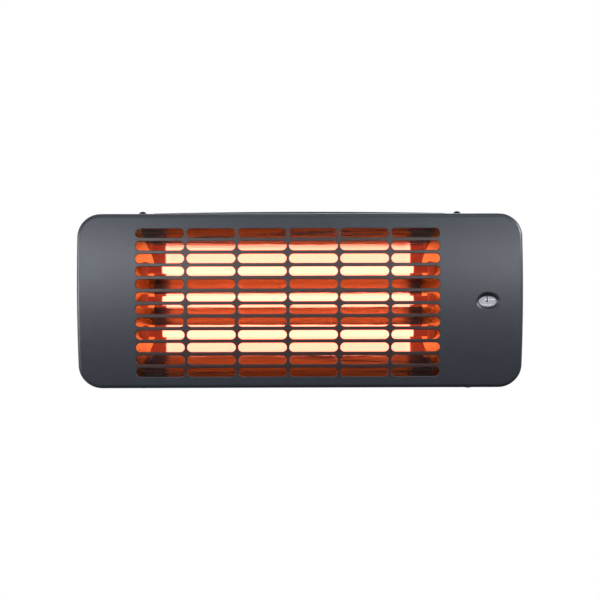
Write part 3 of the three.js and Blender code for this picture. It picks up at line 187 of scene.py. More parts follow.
def smooth(piece, degrees=32):
    """Smooth shading, except across edges sharper than the angle."""
    piece.data.shade_smooth()
    piece.data.set_sharp_from_angle(angle=math.radians(degrees))
    return piece


def loft(name, rings, closed_ends=True, degrees=32):
    """A skin over rings of points, with flat ends."""
    count = len(rings[0])
    faces = []
    for row in range(len(rings) - 1):
        for i in range(count):
            j = (i + 1) % count
            faces.append((row * count + i, row * count + j, (row + 1) * count + j, (row + 1) * count + i))
    if closed_ends:
        last = (len(rings) - 1) * count
        faces.append(tuple(range(count))[::-1])
        faces.append(tuple(range(last, last + count)))
    mesh = bpy.data.meshes.new(name)
    mesh.from_pydata([point for ring in rings for point in ring], [], faces)
    form = bmesh.new()
    form.from_mesh(mesh)
    bmesh.ops.remove_doubles(form, verts=form.verts, dist=1e-7)
    bmesh.ops.recalc_face_normals(form, faces=form.faces)
    form.to_mesh(mesh)
    form.free()
    return smooth(link(name, mesh), degrees)


def soft_profile(profile, radius, steps=4):
    """Rounds each inner corner of an open profile."""
    points = [Vector(p) for p in profile]
    out = [points[0]]
    for before, corner, after in zip(points, points[1:], points[2:]):
        reach = min(radius, (before - corner).length / 2, (after - corner).length / 2)
        start = corner + (before - corner).normalized() * reach
        end = corner + (after - corner).normalized() * reach
        for i in range(steps + 1):
            t = i / steps
            out.append(start * (1 - t) ** 2 + corner * 2 * t * (1 - t) + end * t ** 2)
    out.append(points[-1])
    return out


AXES = {
    "x": (Vector((1, 0, 0)), Vector((0, 1, 0)), Vector((0, 0, 1))),
    "y": (Vector((0, 1, 0)), Vector((0, 0, 1)), Vector((1, 0, 0))),
    "z": (Vector((0, 0, 1)), Vector((1, 0, 0)), Vector((0, 1, 0))),
}


def turned(name, axis, centre, profile, side=1, radius=0.4 * MM, steps=ROUND_STEPS, loop=False):
    """A turned piece: profile holds (radius, distance along the axis from centre)."""
    along, across, up = AXES[axis]
    corners = profile + [profile[0], profile[1]] if loop else profile
    outline = soft_profile(corners, radius)
    if loop:
        outline = outline[1:-1] + outline[1:2]
    rings = []
    for r, d in outline:
        rings.append([
            Vector(centre) + along * (side * d)
            + across * (r * math.cos(2 * math.pi * i / steps))
            + up * (r * math.sin(2 * math.pi * i / steps))
            for i in range(steps)
        ])
    return loft(name, rings, closed_ends=False)


def stadium(length, height, arc_steps=12, side_steps=8):
    """(x, z, outward x, outward z) round a slot."""
    reach = (length - height) / 2
    points = []
    for side in (1, -1):
        for i in range(arc_steps + 1):
            angle = math.pi * (i / arc_steps - 0.5)
            c, s = side * math.cos(angle), side * math.sin(angle)
            points.append((side * reach + c * height / 2, s * height / 2, c, s))
        for i in range(1, side_steps):
            points.append((side * reach * (1 - 2 * i / side_steps), side * height / 2, 0, side))
    return points


def outline(width, height, radius):
    """(x, z, outward x, outward z) round a rounded rectangle, with points down its straight sides."""
    half_x, half_z = width / 2 - radius, height / 2 - radius
    corners = [(half_x, half_z), (-half_x, half_z), (-half_x, -half_z), (half_x, -half_z)]
    points = []
    for turn, (x, z) in enumerate(corners):
        for i in range(CORNER_STEPS + 1):
            angle = math.pi / 2 * (turn + i / CORNER_STEPS)
            points.append((x + radius * math.cos(angle), z + radius * math.sin(angle),
                           math.cos(angle), math.sin(angle)))
        next_x, next_z = corners[(turn + 1) % 4]
        nx, nz = math.cos(math.pi / 2 * (turn + 1)), math.sin(math.pi / 2 * (turn + 1))
        for i in range(1, SIDE_STEPS):
            t = i / SIDE_STEPS
            points.append((x + (next_x - x) * t + radius * nx, z + (next_z - z) * t + radius * nz, nx, nz))
    return points


# ---- Finishes ------------------------------------------------------------------------------------------

def shade(colour, share):
    """A colour made lighter by a share, or darker by one below 0."""
    return tuple(min(1.0, c * (1 + share)) for c in colour) + (1.0,)


def put(tree, value, socket):
    """Sets a socket to a plain value, or links another socket to it."""
    if isinstance(value, bpy.types.NodeSocket):
        tree.links.new(value, socket)
    else:
        socket.default_value = value


def add(tree, kind, **values):
    """A new shader node, with some of its inputs set or linked."""
    made = tree.nodes.new("ShaderNode" + kind)
    for socket, value in values.items():
        put(tree, value, made.inputs[socket.replace("_", " ")])
    return made


def maths(tree, operation, one, other=0.0):
    made = tree.nodes.new("ShaderNodeMath")
    made.operation = operation
    put(tree, one, made.inputs[0])
    put(tree, other, made.inputs[1])
    return made.outputs[0]


def span(tree, value, start, stop, first=0.0, last=1.0):
    """Maps a value between start and stop to first and last, and holds it there outside them."""
    made = add(tree, "MapRange", Value=value, From_Min=start, From_Max=stop, To_Min=first, To_Max=last)
    return made.outputs["Result"]


def mixed(tree, share, one, other, kind="FLOAT"):
    """One value or colour turning into another as the share goes from 0 to 1."""
    made = tree.nodes.new("ShaderNodeMix")
    made.data_type = kind
    for socket, value in (("Factor", share), ("A", one), ("B", other)):
        put(tree, value, made.inputs[socket])
    return made.outputs["Result"]


def blended(tree, share, one, other):
    """The same for two shaders."""
    made = add(tree, "MixShader", Fac=share)
    tree.links.new(one, made.inputs[1])
    tree.links.new(other, made.inputs[2])
    return made.outputs["Shader"]


def parts_of(material):
    """A finish's node tree, its shader and its object coordinates."""
    tree = material.node_tree
    place = next(n for n in tree.nodes if n.bl_idname == "ShaderNodeTexCoord")
    return tree, tree.nodes["Principled BSDF"], place.outputs["Object"]


def away_from(tree, place, axis, middle):
    """The distance to either side of a plane across an axis."""
    split = add(tree, "SeparateXYZ", Vector=place)
    return maths(tree, "ABSOLUTE", maths(tree, "SUBTRACT", split.outputs[axis], middle))


def finish(name, colour, roughness, metallic=0.0, grain=0.5 * MM, spread=0.08, bump=0.1, stretch=(1, 1, 1),
           blotch=40, rough_spread=0.15, **sockets):
    """A procedural finish: a broad noise varies colour and roughness, and a fine one bumps the surface."""
    material = bpy.data.materials.new(name)
    material.use_nodes = True
    tree = material.node_tree
    shader = tree.nodes["Principled BSDF"]
    for socket, value in {"Metallic": metallic, **sockets}.items():
        shader.inputs[socket.replace("_", " ")].default_value = value
    place = add(tree, "TexCoord")
    mapping = add(tree, "Mapping", Vector=place.outputs["Object"], Scale=stretch)
    vector = mapping.outputs["Vector"]
    broad = add(tree, "TexNoise", Vector=vector, Scale=1 / (grain * blotch), Detail=5)
    fine = add(tree, "TexNoise", Vector=vector, Scale=1 / grain, Detail=2)
    ramp = add(tree, "ValToRGB", Fac=broad.outputs["Fac"])
    for element, position, share in zip(ramp.color_ramp.elements, (0.3, 0.7), (-spread, spread)):
        element.position = position
        element.color = shade(colour, share)
    tree.links.new(ramp.outputs["Color"], shader.inputs["Base Color"])
    rough = span(tree, broad.outputs["Fac"], 0, 1, roughness * (1 - rough_spread),
                 min(1.0, roughness * (1 + rough_spread)))
    tree.links.new(rough, shader.inputs["Roughness"])
    relief = add(tree, "Bump", Strength=bump, Distance=grain, Height=fine.outputs["Fac"])
    tree.links.new(relief.outputs["Normal"], shader.inputs["Normal"])
    return material


def glow(name, colour, strength, ripple, end_strength, **sockets):
    """A hot surface whose glow ripples along X with the windings behind it and stops where they stop."""
    material = finish(name, (0.2, 0.17, 0.14), 0.25, spread=0.1, bump=0.02, **sockets)
    tree, shader, place = parts_of(material)
    wave = add(tree, "TexWave", Vector=place, Scale=2 * math.pi / COIL_PITCH / 20, Distortion=0.6)
    wave.bands_direction = "X"
    level = span(tree, wave.outputs["Fac"], 0, 1, strength * (1 - ripple), strength * (1 + ripple))
    along = away_from(tree, place, "X", GRILLE_X)
    cold = span(tree, along, GLOW_END - GLOW_FADE, GLOW_END + GLOW_FADE)
    tree.links.new(mixed(tree, cold, level, end_strength), shader.inputs["Emission Strength"])
    tint = add(tree, "ValToRGB", Fac=cold)
    for element, hue in zip(tint.color_ramp.elements, (colour, COLD_END)):
        element.color = hue + (1.0,)
    tree.links.new(tint.outputs["Color"], shader.inputs["Emission Color"])
    return material


def bloom(material, colour, least, most):
    """A thin matt bloom on a polished sheet: even in its middle, streaked by its lips, faint by its ends."""
    plain, streaked = 58 * MM, 72 * MM  # above and below the sheet's middle
    fade, faint = 9 * MM, 0.12
    tree, shader, place = parts_of(material)
    drawn = add(tree, "Mapping", Vector=place, Rotation=(0, math.radians(2.5), 0), Scale=(0.02, 1, 1))
    streaks = add(tree, "TexNoise", Vector=drawn.outputs["Vector"], Scale=1 / (3 * MM), Detail=1)
    thick = span(tree, streaks.outputs["Fac"], 0.3, 0.52, 0.6 * least, most)
    outer = span(tree, away_from(tree, place, "Z", MID_Z), plain, streaked)
    hot = span(tree, away_from(tree, place, "X", GRILLE_X), GLOW_END - fade, GLOW_END, 1.0, faint)
    share = maths(tree, "MULTIPLY", mixed(tree, outer, least, thick), hot)
    matt = add(tree, "BsdfDiffuse", Color=colour + (1.0,))
    both = blended(tree, share, shader.outputs["BSDF"], matt.outputs["BSDF"])
    tree.links.new(both, tree.nodes["Material Output"].inputs["Surface"])


def overpaint(material, share, colour):
    """Lays another colour over a finish's own, by a share between 0 and 1."""
    tree, shader, _ = parts_of(material)
    under = shader.inputs["Base Color"].links[0].from_socket
    tree.links.new(mixed(tree, share, under, colour + (1,), "RGBA"), shader.inputs["Base Color"])


def paint_glow_tint(material, colour):
    """Painted light: a warm red tint laid over the paint between the slots, standing in for the glow of the
    hot slots on the bars, fading out round the grille.
    """
    before, past = 2 * MM, 1 * MM  # the fade's start and end, from the grille's edge
    half_z = (SLOT_PITCH_Z * SLOT_ROWS - BAR_HEIGHT) / 2
    tree, _, place = parts_of(material)
    masks = [span(tree, away_from(tree, place, axis, middle), half - before, half + past, 1, 0)
             for axis, middle, half in (("X", GRILLE_X, GRILLE_LENGTH / 2), ("Z", MID_Z + GRILLE_Z, half_z))]
    overpaint(material, maths(tree, "MULTIPLY", *masks), colour)


def paint_dish_shade(material, colour):
    """Painted shade: a near-black colour laid in the pressed dish round the window, up to near its lip, in
    place of the shadow in the recess.
    """
    dark, bare = 0.8, 0.86  # shares of the dish's own radius
    tree, _, place = parts_of(material)
    oval = add(tree, "Mapping", Vector=place)
    oval.vector_type = "TEXTURE"
    oval.inputs["Location"].default_value = (WINDOW_X, 0, MID_Z + WINDOW_Z)
    oval.inputs["Scale"].default_value = (DIMPLE_WIDTH / 2, 1e6, DIMPLE_HEIGHT / 2)
    radius = tree.nodes.new("ShaderNodeVectorMath")
    radius.operation = "LENGTH"
    tree.links.new(oval.outputs["Vector"], radius.inputs[0])
    overpaint(material, span(tree, radius.outputs["Value"], dark, bare, 1, 0), colour)


COVER_GREY = (0.0285, 0.0305, 0.038)
HOT = (1.0, 0.225, 0.145)
COLD_END = (1.0, 0.075, 0.028)

cover_paint = finish("cover_paint", COVER_GREY, 0.4, grain=0.35 * MM, spread=0.05, bump=0.05,
                     rough_spread=0.08)
# Painted light: a warm tint on the grille's bars for the slots' glow.
paint_glow_tint(cover_paint, (0.034, 0.017, 0.016))
# Painted shade: near-black colour in the window's dish.
paint_dish_shade(cover_paint, (0.006, 0.006, 0.008))
shell_paint = finish("shell_paint", COVER_GREY, 0.46, grain=0.35 * MM, spread=0.05, bump=0.06)
bracket_paint = finish("bracket_paint", (0.04, 0.042, 0.05), 0.42, grain=0.35 * MM, spread=0.07, bump=0.06)
black_screw = finish("black_screw", (0.006, 0.006, 0.007), 0.6, grain=0.3 * MM, spread=0.2, bump=0.05,
                     Specular_IOR_Level=0.15)
mirror_sheet = finish("polished_reflector", (0.97, 0.96, 0.95), 0.09, metallic=1.0, grain=1.6 * MM,
                      spread=0.03, bump=0.1, stretch=(0.03, 1, 1), blotch=6, rough_spread=0.4)
bloom(mirror_sheet, (0.97, 0.49, 0.15), 0.17, 1.0)
end_sheet = finish("polished_ends", (0.45, 0.3, 0.11), 0.3, metallic=0.97, grain=2.5 * MM, spread=0.04,
                   bump=0.06, blotch=8, rough_spread=0.4)
quartz = glow("quartz", HOT, 4.3, 0.06, 0.31, Alpha=0.92)
hot_wire = glow("filament", (1.0, 0.25, 0.12), 3.0, 0.1, 1.0)
# The ceramic's faint red emission is painted light: a glow standing in for the tubes' red light falling on
# the caps.
ceramic = finish("ceramic", (0.5, 0.42, 0.34), 0.6, grain=0.5 * MM, spread=0.08, bump=0.15,
                 Emission_Color=(1.0, 0.09, 0.02, 1.0), Emission_Strength=0.3)
zinc = finish("zinc_steel", (0.62, 0.63, 0.64), 0.34, metallic=1.0, grain=0.6 * MM, spread=0.12, bump=0.05)
spring_steel = finish("spring_steel", (0.5, 0.51, 0.52), 0.3, metallic=1.0, grain=0.5 * MM, spread=0.1,
                      bump=0.05)
brass = finish("brass", (0.72, 0.52, 0.24), 0.3, metallic=1.0, grain=0.6 * MM, spread=0.12, bump=0.05)
white_plastic = finish("drum_plastic", (0.8, 0.76, 0.82), 0.4, grain=0.5 * MM, spread=0.03, bump=0.04)
cream_plastic = finish("clamp_plastic", (0.72, 0.71, 0.66), 0.45, grain=0.5 * MM, spread=0.04, bump=0.06)
black_plastic = finish("knob_plastic", (0.022, 0.022, 0.024), 0.5, grain=0.4 * MM, spread=0.15, bump=0.25)
gland_plastic = finish("gland_plastic", (0.03, 0.03, 0.032), 0.45, grain=0.5 * MM, spread=0.12, bump=0.1)
fibre = finish("washer_fibre", (0.06, 0.05, 0.045), 0.75, grain=0.4 * MM, spread=0.2, bump=0.3)
red_print = finish("red_print", (0.16, 0.006, 0.05), 0.45, grain=0.2 * MM, spread=0.1, bump=0.05)
brown_wire = finish("brown_wire", (0.16, 0.07, 0.035), 0.5, grain=0.5 * MM, spread=0.1, bump=0.08)
blue_wire = finish("blue_wire", (0.03, 0.08, 0.34), 0.5, grain=0.5 * MM, spread=0.1, bump=0.08)
earth_wire = finish("earth_wire", (0.16, 0.3, 0.03), 0.5, grain=0.5 * MM, spread=0.1, bump=0.08)
clear_lens = finish("lens", (0.98, 0.98, 0.98), 0.1, grain=1.5 * MM, spread=0.01, bump=0.0, IOR=1.46,
                    Transmission_Weight=1.0)


def dress(piece, material, body="housing", replaced=()):
    """Gives a new piece its finish, its body and the solids that it stands for."""
    piece.data.materials.clear()
    piece.data.materials.append(material)
    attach(piece, body)
    if replaced:
        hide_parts(*replaced)
    return piece


# ---- Front cover ---------------------------------------------------------------------------------------

def crown(x, along, depth=0.0):
    """A point behind the crowned face, at a distance along its arc from the face's middle."""
    angle = along / CROWN_RADIUS
    reach = CROWN_RADIUS - depth
    return Vector((x, FACE_Y + CROWN_RADIUS - reach * math.cos(angle), MID_Z + reach * math.sin(angle)))


def crown_normal(along):
    angle = along / CROWN_RADIUS
    return Vector((0, -math.cos(angle), math.sin(angle)))


def crown_up(along):
    angle = along / CROWN_RADIUS
    return Vector((0, math.sin(angle), math.cos(angle)))


def arc_of(z):
    return CROWN_RADIUS * math.asin(z / CROWN_RADIUS)


def face_y(z):
    return FACE_Y + CROWN_RADIUS - math.sqrt(CROWN_RADIUS ** 2 - z ** 2)


def slot_middles():
    for row in range(SLOT_ROWS):
        along = GRILLE_Z + SLOT_PITCH_Z * (row - (SLOT_ROWS - 1) / 2)
        for column in range(SLOT_COLUMNS):
            yield GRILLE_X + SLOT_PITCH_X * (column - (SLOT_COLUMNS - 1) / 2), along


def ellipse(width, height, steps=ROUND_STEPS):
    return [(width / 2 * math.cos(2 * math.pi * i / steps), height / 2 * math.sin(2 * math.pi * i / steps))
            for i in range(steps)]


def slot_gap(x, along, middle):
    """Distance from a point of the face to the edge of a slot; below 0 inside it."""
    reach = (SLOT_LENGTH - SLOT_HEIGHT) / 2
    dx = max(abs(x - middle[0]) - reach, 0)
    return math.hypot(dx, along - middle[1]) - SLOT_HEIGHT / 2


def in_dimple(x, along, grow):
    across = (x - WINDOW_X) / (DIMPLE_WIDTH / 2 + grow)
    up = (along - WINDOW_Z) / (DIMPLE_HEIGHT / 2 + grow)
    return math.hypot(across, up) < 1


def face_plan():
    """The flat plan of the face: its points, its loops (edge, slots, dimple), triangles and slot middles."""
    edge = [(x, arc_of(z)) for x, z, _, _ in
            outline(WIDTH - 2 * EDGE_RADIUS, HEIGHT - 2 * EDGE_RADIUS, CORNER_RADIUS - EDGE_RADIUS)]
    slot = stadium(SLOT_LENGTH + 2 * RIM_START, SLOT_HEIGHT + 2 * RIM_START)
    middles = list(slot_middles())
    loops = [edge] + [[(x + mx, z + mz) for x, z, _, _ in slot] for mx, mz in middles]
    loops.append([(x + WINDOW_X, z + WINDOW_Z)
                  for x, z in ellipse(DIMPLE_WIDTH + 2 * DIMPLE_LIP, DIMPLE_HEIGHT + 2 * DIMPLE_LIP)])
    points = []
    edges = []
    spans = []
    for loop in loops:
        first = len(points)
        points += loop
        spans.append(range(first, len(points)))
        edges += [(first + i, first + (i + 1) % len(loop)) for i in range(len(loop))]
    room, columns, rows = 1.5 * MM, 60, 40
    half_x = WIDTH / 2 - CORNER_RADIUS / 2
    half_z = HEIGHT / 2 - CORNER_RADIUS / 2
    across = [half_x * (2 * i / columns - 1) for i in range(columns + 1)]
    along = [half_z * (2 * i / rows - 1) for i in range(rows + 1)]
    for x in across:
        for z in along:
            clear = all(slot_gap(x, z, m) > RIM_START + room for m in middles)
            if clear and not in_dimple(x, z, DIMPLE_LIP + room):
                points.append((x, z))
    made, _, triangles, sources, _, _ = delaunay_2d_cdt([Vector(p) for p in points], edges, [], 0, 1e-7)
    kept = []
    for triangle in triangles:
        x = sum(made[i].x for i in triangle) / 3
        z = sum(made[i].y for i in triangle) / 3
        if any(slot_gap(x, z, m) < RIM_START for m in middles) or in_dimple(x, z, DIMPLE_LIP):
            continue
        kept.append(triangle)
    at = {source: i for i, group in enumerate(sources) for source in group}
    return made, [[at[i] for i in span] for span in spans], kept, middles


def cover_edge(skin, outer, inner):
    """The rounded edge, the skirt, its hem and the way back up inside, from loop to loop of the face."""
    def inset_outline(inset):
        return outline(WIDTH - 2 * inset, HEIGHT - 2 * inset, CORNER_RADIUS - inset)

    def edge_ring(inset, back, lean, turn=1):
        pairs = []
        for x, z, nx, nz in inset_outline(inset):
            forward = crown_normal(arc_of(z)) * math.sin(lean)
            sideways = Vector((nx, 0, nz)) * math.cos(lean)
            pairs.append(((x, face_y(z) + back, MID_Z + z), (forward + sideways) * turn))
        return skin.ring(pairs)

    def skirt_ring(inset, short, out, rear):
        return skin.ring(((x, SKIRT_REAR_Y - short, MID_Z + z), (nx * out, rear, nz * out))
                         for x, z, nx, nz in inset_outline(inset))

    rings = [outer]
    for step in range(EDGE_STEPS - 1, -1, -1):
        lean = math.pi / 2 * step / EDGE_STEPS
        rings.append(edge_ring(EDGE_RADIUS * (1 - math.cos(lean)), EDGE_RADIUS * (1 - math.sin(lean)), lean))
    hem = COVER_SHEET / 2
    bend = 0.3 * hem
    for inset, short, out, rear in ((0, hem, 1, 0), (bend, bend, 0.7, 0.7), (hem, 0, 0, 1),
                                    (COVER_SHEET - bend, bend, -0.7, 0.7), (COVER_SHEET, hem, -1, 0)):
        rings.append(skirt_ring(inset, short, out, rear))
    inside = EDGE_RADIUS - COVER_SHEET
    for step in range(EDGE_STEPS):
        lean = math.pi / 2 * step / EDGE_STEPS
        inset = COVER_SHEET + inside * (1 - math.cos(lean))
        rings.append(edge_ring(inset, COVER_SHEET + inside * (1 - math.sin(lean)), lean, -1))
    skin.stack(rings + [inner])


def rim_profile():
    """(offset from the slot's edge, depth, lean inwards, lean forwards) from the face to its rear."""
    collar_in = RIM_START - RIM_RADIUS
    tip = COLLAR_SHEET / 2
    rim_angles = [math.pi / 8 * i for i in (1, 2, 3, 4)]
    tip_angles = [math.pi / 4 * i for i in (0, 1, 2, 3, 4)]
    profile = [(RIM_START - RIM_RADIUS * math.sin(a), RIM_RADIUS * (1 - math.cos(a)), math.sin(a),
                math.cos(a)) for a in rim_angles]
    profile += [(collar_in + tip * (1 - math.cos(a)), COLLAR_DEPTH - tip + tip * math.sin(a),
                 math.cos(a), -math.sin(a)) for a in tip_angles]
    return profile + [(RIM_START, COVER_SHEET, -1, 0)]


def slot_rim(skin, outer, inner, middle):
    """A slot's rounded rim and its turned-in collar."""
    mx, mz = middle
    rings = [outer]
    for offset, depth, inward, forward in rim_profile():
        pairs = []
        for x, z, nx, nz in stadium(SLOT_LENGTH + 2 * offset, SLOT_HEIGHT + 2 * offset):
            out = Vector((nx, 0, 0)) + crown_up(mz + z) * nz
            pairs.append((crown(x + mx, z + mz, depth), crown_normal(mz + z) * forward - out * inward))
        rings.append(skin.ring(pairs))
    skin.stack(rings + [inner])


def window_dish(skin, outer, inner):
    """The pressed dish round the window and the short wall that takes the lens."""
    steps, flare = 10, 2.2
    rows = []
    lip_width = DIMPLE_WIDTH + 2 * DIMPLE_LIP
    lip_height = DIMPLE_HEIGHT + 2 * DIMPLE_LIP
    for step in range(steps + 1):
        t = step / steps
        width = lip_width + (WINDOW_WIDTH - lip_width) * t
        height = lip_height + (WINDOW_HEIGHT - lip_height) * t
        depth = DIMPLE_DEPTH * (1 - (1 - t) ** flare) * min(1, 0.35 + 3 * t) if t else 0
        rows.append([crown(x + WINDOW_X, z + WINDOW_Z, depth) for x, z in ellipse(width, height)])
    rings = [outer]
    for before, here, after in zip(rows, rows[1:], rows[2:] + [rows[-1]]):
        pairs = []
        for i in range(len(here)):
            around = here[(i + 1) % len(here)] - here[i - 1]
            down = after[i] - before[i]
            normal = around.cross(down).normalized()
            pairs.append((here[i], -normal if normal.y > 0 else normal))
        rings.append(skin.ring(pairs))
    behind = DIMPLE_DEPTH + COVER_SHEET
    wall = [skin.ring((crown(x + WINDOW_X, z + WINDOW_Z, depth), (-x, 0, -z))
                      for x, z in ellipse(WINDOW_WIDTH, WINDOW_HEIGHT)) for depth in (DIMPLE_DEPTH, behind)]
    back = [skin.ring((crown(x + WINDOW_X, z + WINDOW_Z, depth), (x, 0.3 * DIMPLE_WIDTH, z))
                      for x, z in ellipse(width + 2 * COVER_SHEET, height + 2 * COVER_SHEET))
            for width, height, depth in ((WINDOW_WIDTH, WINDOW_HEIGHT, behind),
                                         (DIMPLE_WIDTH, DIMPLE_HEIGHT, COVER_SHEET))]
    skin.stack(rings)
    skin.stack(wall)
    skin.strip(wall[-1], back[0])
    skin.stack(back + [inner])


def front_cover():
    """The crowned cover: both sides of its face, its edge, the slots' rims, and the dish for the lens."""
    made, loops, triangles, middles = face_plan()
    skin = Skin()
    outer = skin.ring((crown(p.x, p.y), crown_normal(p.y)) for p in made)
    inner = skin.ring((crown(p.x, p.y, COVER_SHEET), -crown_normal(p.y)) for p in made)
    for triangle in triangles:
        skin.face(*(outer[i] for i in triangle))
        skin.face(*(inner[i] for i in triangle))
    edge, *slots, window = [([outer[i] for i in loop], [inner[i] for i in loop]) for loop in loops]
    cover_edge(skin, *edge)
    for slot, middle in zip(slots, middles):
        slot_rim(skin, *slot, middle)
    window_dish(skin, *window)
    return dress(skin.build("cover"), cover_paint, replaced=["front_cover"])


front_cover()


# ---- Window and drum -----------------------------------------------------------------------------------

def window_lens():
    """The clear oval lens: a flange behind the cover, and a shallow dome through its window."""
    floor_y = face_y(WINDOW_Z) + DIMPLE_DEPTH
    flange = 2 * MM
    bulge = 1.4 * MM
    step_y = floor_y + COVER_SHEET + PLAY
    wide, high = WINDOW_WIDTH - 2 * PLAY, WINDOW_HEIGHT - 2 * PLAY
    sizes = [(WINDOW_WIDTH + 2 * flange, WINDOW_HEIGHT + 2 * flange, LENS_REAR_Y),
             (WINDOW_WIDTH + 2 * flange, WINDOW_HEIGHT + 2 * flange, step_y),
             (wide, high, step_y)]
    steps = 8
    for i in range(steps + 1):
        angle = math.radians(80) * i / steps
        shrink = math.cos(angle)
        sizes.append((wide * shrink, high * shrink, floor_y - bulge * math.sin(angle)))
    rings = [[Vector((x + WINDOW_X, y, z + WINDOW_Z + MID_Z)) for x, z in ellipse(w, h)] for w, h, y in sizes]
    return dress(loft("lens", rings), clear_lens, replaced=["window_lens"])


window_lens()

drum_low, drum_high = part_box("indicator_drum")
DRUM_RADIUS = (drum_high.z - drum_low.z) / 2
DRUM_WIDTH = drum_high.x - drum_low.x
DRUM_CENTRE = (drum_low + drum_high) / 2
SHAFT_RADIUS = 2.5 * MM


def drum():
    """The indicator drum, dished on both sides."""
    half = DRUM_WIDTH / 2
    bore = SHAFT_RADIUS + PLAY
    rim = DRUM_RADIUS - 2.5 * MM
    dish, slope = 3 * MM, 1 * MM
    profile = [(bore, -half + dish), (rim - slope, -half + dish), (rim, -half), (DRUM_RADIUS, -half),
               (DRUM_RADIUS, half), (rim, half), (rim - slope, half - dish), (bore, half - dish)]
    piece = turned("drum", "x", DRUM_CENTRE, profile, radius=0.6 * MM, loop=True)
    return dress(piece, white_plastic, "selector", ["indicator_drum"])


def numeral(text, turn):
    """A plain printed number, wrapped on the drum at an angle above its front."""
    high = 6.4 * MM
    narrow = 0.62
    bold = 0.06
    raised = 0.04 * MM
    curve = bpy.data.curves.new("numeral_" + text, "FONT")
    curve.body = text
    curve.align_x = "CENTER"
    curve.align_y = "CENTER"
    curve.resolution_u = 6
    curve.offset = bold
    holder = bpy.data.objects.new("numeral_" + text, curve)
    bpy.context.scene.collection.objects.link(holder)
    bpy.context.view_layer.update()
    mesh = bpy.data.meshes.new_from_object(holder.evaluated_get(bpy.context.evaluated_depsgraph_get()))
    bpy.data.objects.remove(holder)
    form = bmesh.new()
    form.from_mesh(mesh)
    bmesh.ops.remove_doubles(form, verts=form.verts, dist=1e-5)
    bmesh.ops.subdivide_edges(form, edges=form.edges, cuts=2)
    bmesh.ops.triangulate(form, faces=form.faces)
    low = min(v.co.y for v in form.verts)
    tall = max(v.co.y for v in form.verts) - low
    middle = sum(v.co.x for v in form.verts) / len(form.verts)
    for vert in form.verts:
        along = (vert.co.y - low - tall / 2) * high / tall
        across = (vert.co.x - middle) * high / tall * narrow
        angle = turn + along / DRUM_RADIUS
        reach = DRUM_RADIUS + raised
        vert.co = DRUM_CENTRE + Vector((across, -reach * math.cos(angle), reach * math.sin(angle)))
    sunk = bmesh.ops.extrude_face_region(form, geom=form.faces[:])["geom"]
    for vert in (item for item in sunk if isinstance(item, bmesh.types.BMVert)):
        inward = Vector((0, DRUM_CENTRE.y - vert.co.y, DRUM_CENTRE.z - vert.co.z)).normalized()
        vert.co += inward * (2 * raised)
    bmesh.ops.recalc_face_normals(form, faces=form.faces)
    form.to_mesh(mesh)
    form.free()
    return dress(link("number_" + text, mesh), red_print, "selector")


drum()
NUMBER_LIFT = math.radians(9)
for quarter, text in enumerate("3012"):
    numeral(text, NUMBER_LIFT + quarter * math.pi / 2)


# ---- Tubes, caps and reflector -------------------------------------------------------------------------

def quartz_tube(place):
    """A quartz tube, open at both ends."""
    low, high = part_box("quartz_tube_" + place)
    centre = (low + high) / 2
    half = (high.x - low.x) / 2
    inner = TUBE_RADIUS - TUBE_WALL
    profile = [(inner, -half), (TUBE_RADIUS, -half), (TUBE_RADIUS, half), (inner, half)]
    piece = turned("quartz_" + place, "x", centre, profile, radius=0.5 * MM, steps=40, loop=True)
    return dress(piece, quartz, replaced=["quartz_tube_" + place])


def coil(place):
    """The wound heating wire inside a tube."""
    low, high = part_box("filament_" + place)
    centre = (low + high) / 2
    length = high.x - low.x - 2 * COIL_WIRE
    turns = round(length / COIL_PITCH)
    per_turn = 12
    sides = 5
    rings = []
    for i in range(turns * per_turn + 1):
        angle = 2 * math.pi * i / per_turn
        x = centre.x - length / 2 + length * i / (turns * per_turn)
        out = Vector((0, math.cos(angle), math.sin(angle)))
        middle = Vector((x, centre.y, centre.z)) + out * COIL_RADIUS
        rings.append([middle + (out * math.cos(a) + Vector((1, 0, 0)) * math.sin(a)) * COIL_WIRE
                      for a in (2 * math.pi * k / sides for k in range(sides))])
    return dress(loft("coil_" + place, rings, degrees=80), hot_wire,
                 replaced=["filament_" + place])


def ceramic_cap(place, end):
    """A ceramic cap on a tube's end, flanged outwards, round its terminal stud."""
    low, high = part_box(f"ceramic_cap_{place}_{end}")
    centre = (low + high) / 2
    centre.x = GRILLE_X
    side = SIDES[end]
    start = (low.x if side > 0 else high.x) * side - GRILLE_X * side
    stop = (high.x if side > 0 else low.x) * side - GRILLE_X * side
    bore = TUBE_RADIUS + PLAY
    profile = [(bore, start), (CAP_RADIUS, start), (CAP_RADIUS, stop - CAP_FLANGE),
               (CAP_FLANGE_RADIUS, stop - CAP_FLANGE), (CAP_FLANGE_RADIUS, stop), (STUD_RADIUS, stop),
               (STUD_RADIUS, start + CAP_GRIP), (bore, start + CAP_GRIP)]
    piece = turned(f"cap_{place}_{end}", "x", centre, profile, side, radius=0.9 * MM, steps=48, loop=True)
    return dress(piece, ceramic, replaced=[f"ceramic_cap_{place}_{end}"])


for place in TUBES:
    quartz_tube(place)
    coil(place)
    for end in SIDES:
        ceramic_cap(place, end)

tube_low, tube_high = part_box("quartz_tube_middle")
TUBE_Y = (tube_low.y + tube_high.y) / 2
TUBE_Z = (tube_low.z + tube_high.z) / 2
TUBE_PITCH = 36.3 * MM
REFLECTOR_SHEET = 0.8 * MM
REFLECTOR_Y = TUBE_Y + 15.9 * MM
RIDGE_HEIGHT = 16 * MM
RIDGE_POWER = 3.35
LIP_Y = FACE_Y + 17 * MM
LIP_Z = HEIGHT / 2 - 10.85 * MM
FLANK_START = 20.5 * MM
FLANK_KNEE_Y = 17.6 * MM
FLANK_KNEE_Z = 25 * MM
END_PLATE_INSET = 15.7 * MM
END_PLATE_SPLAY = 16.5 * MM
END_PLATE_FRONT = 10 * MM


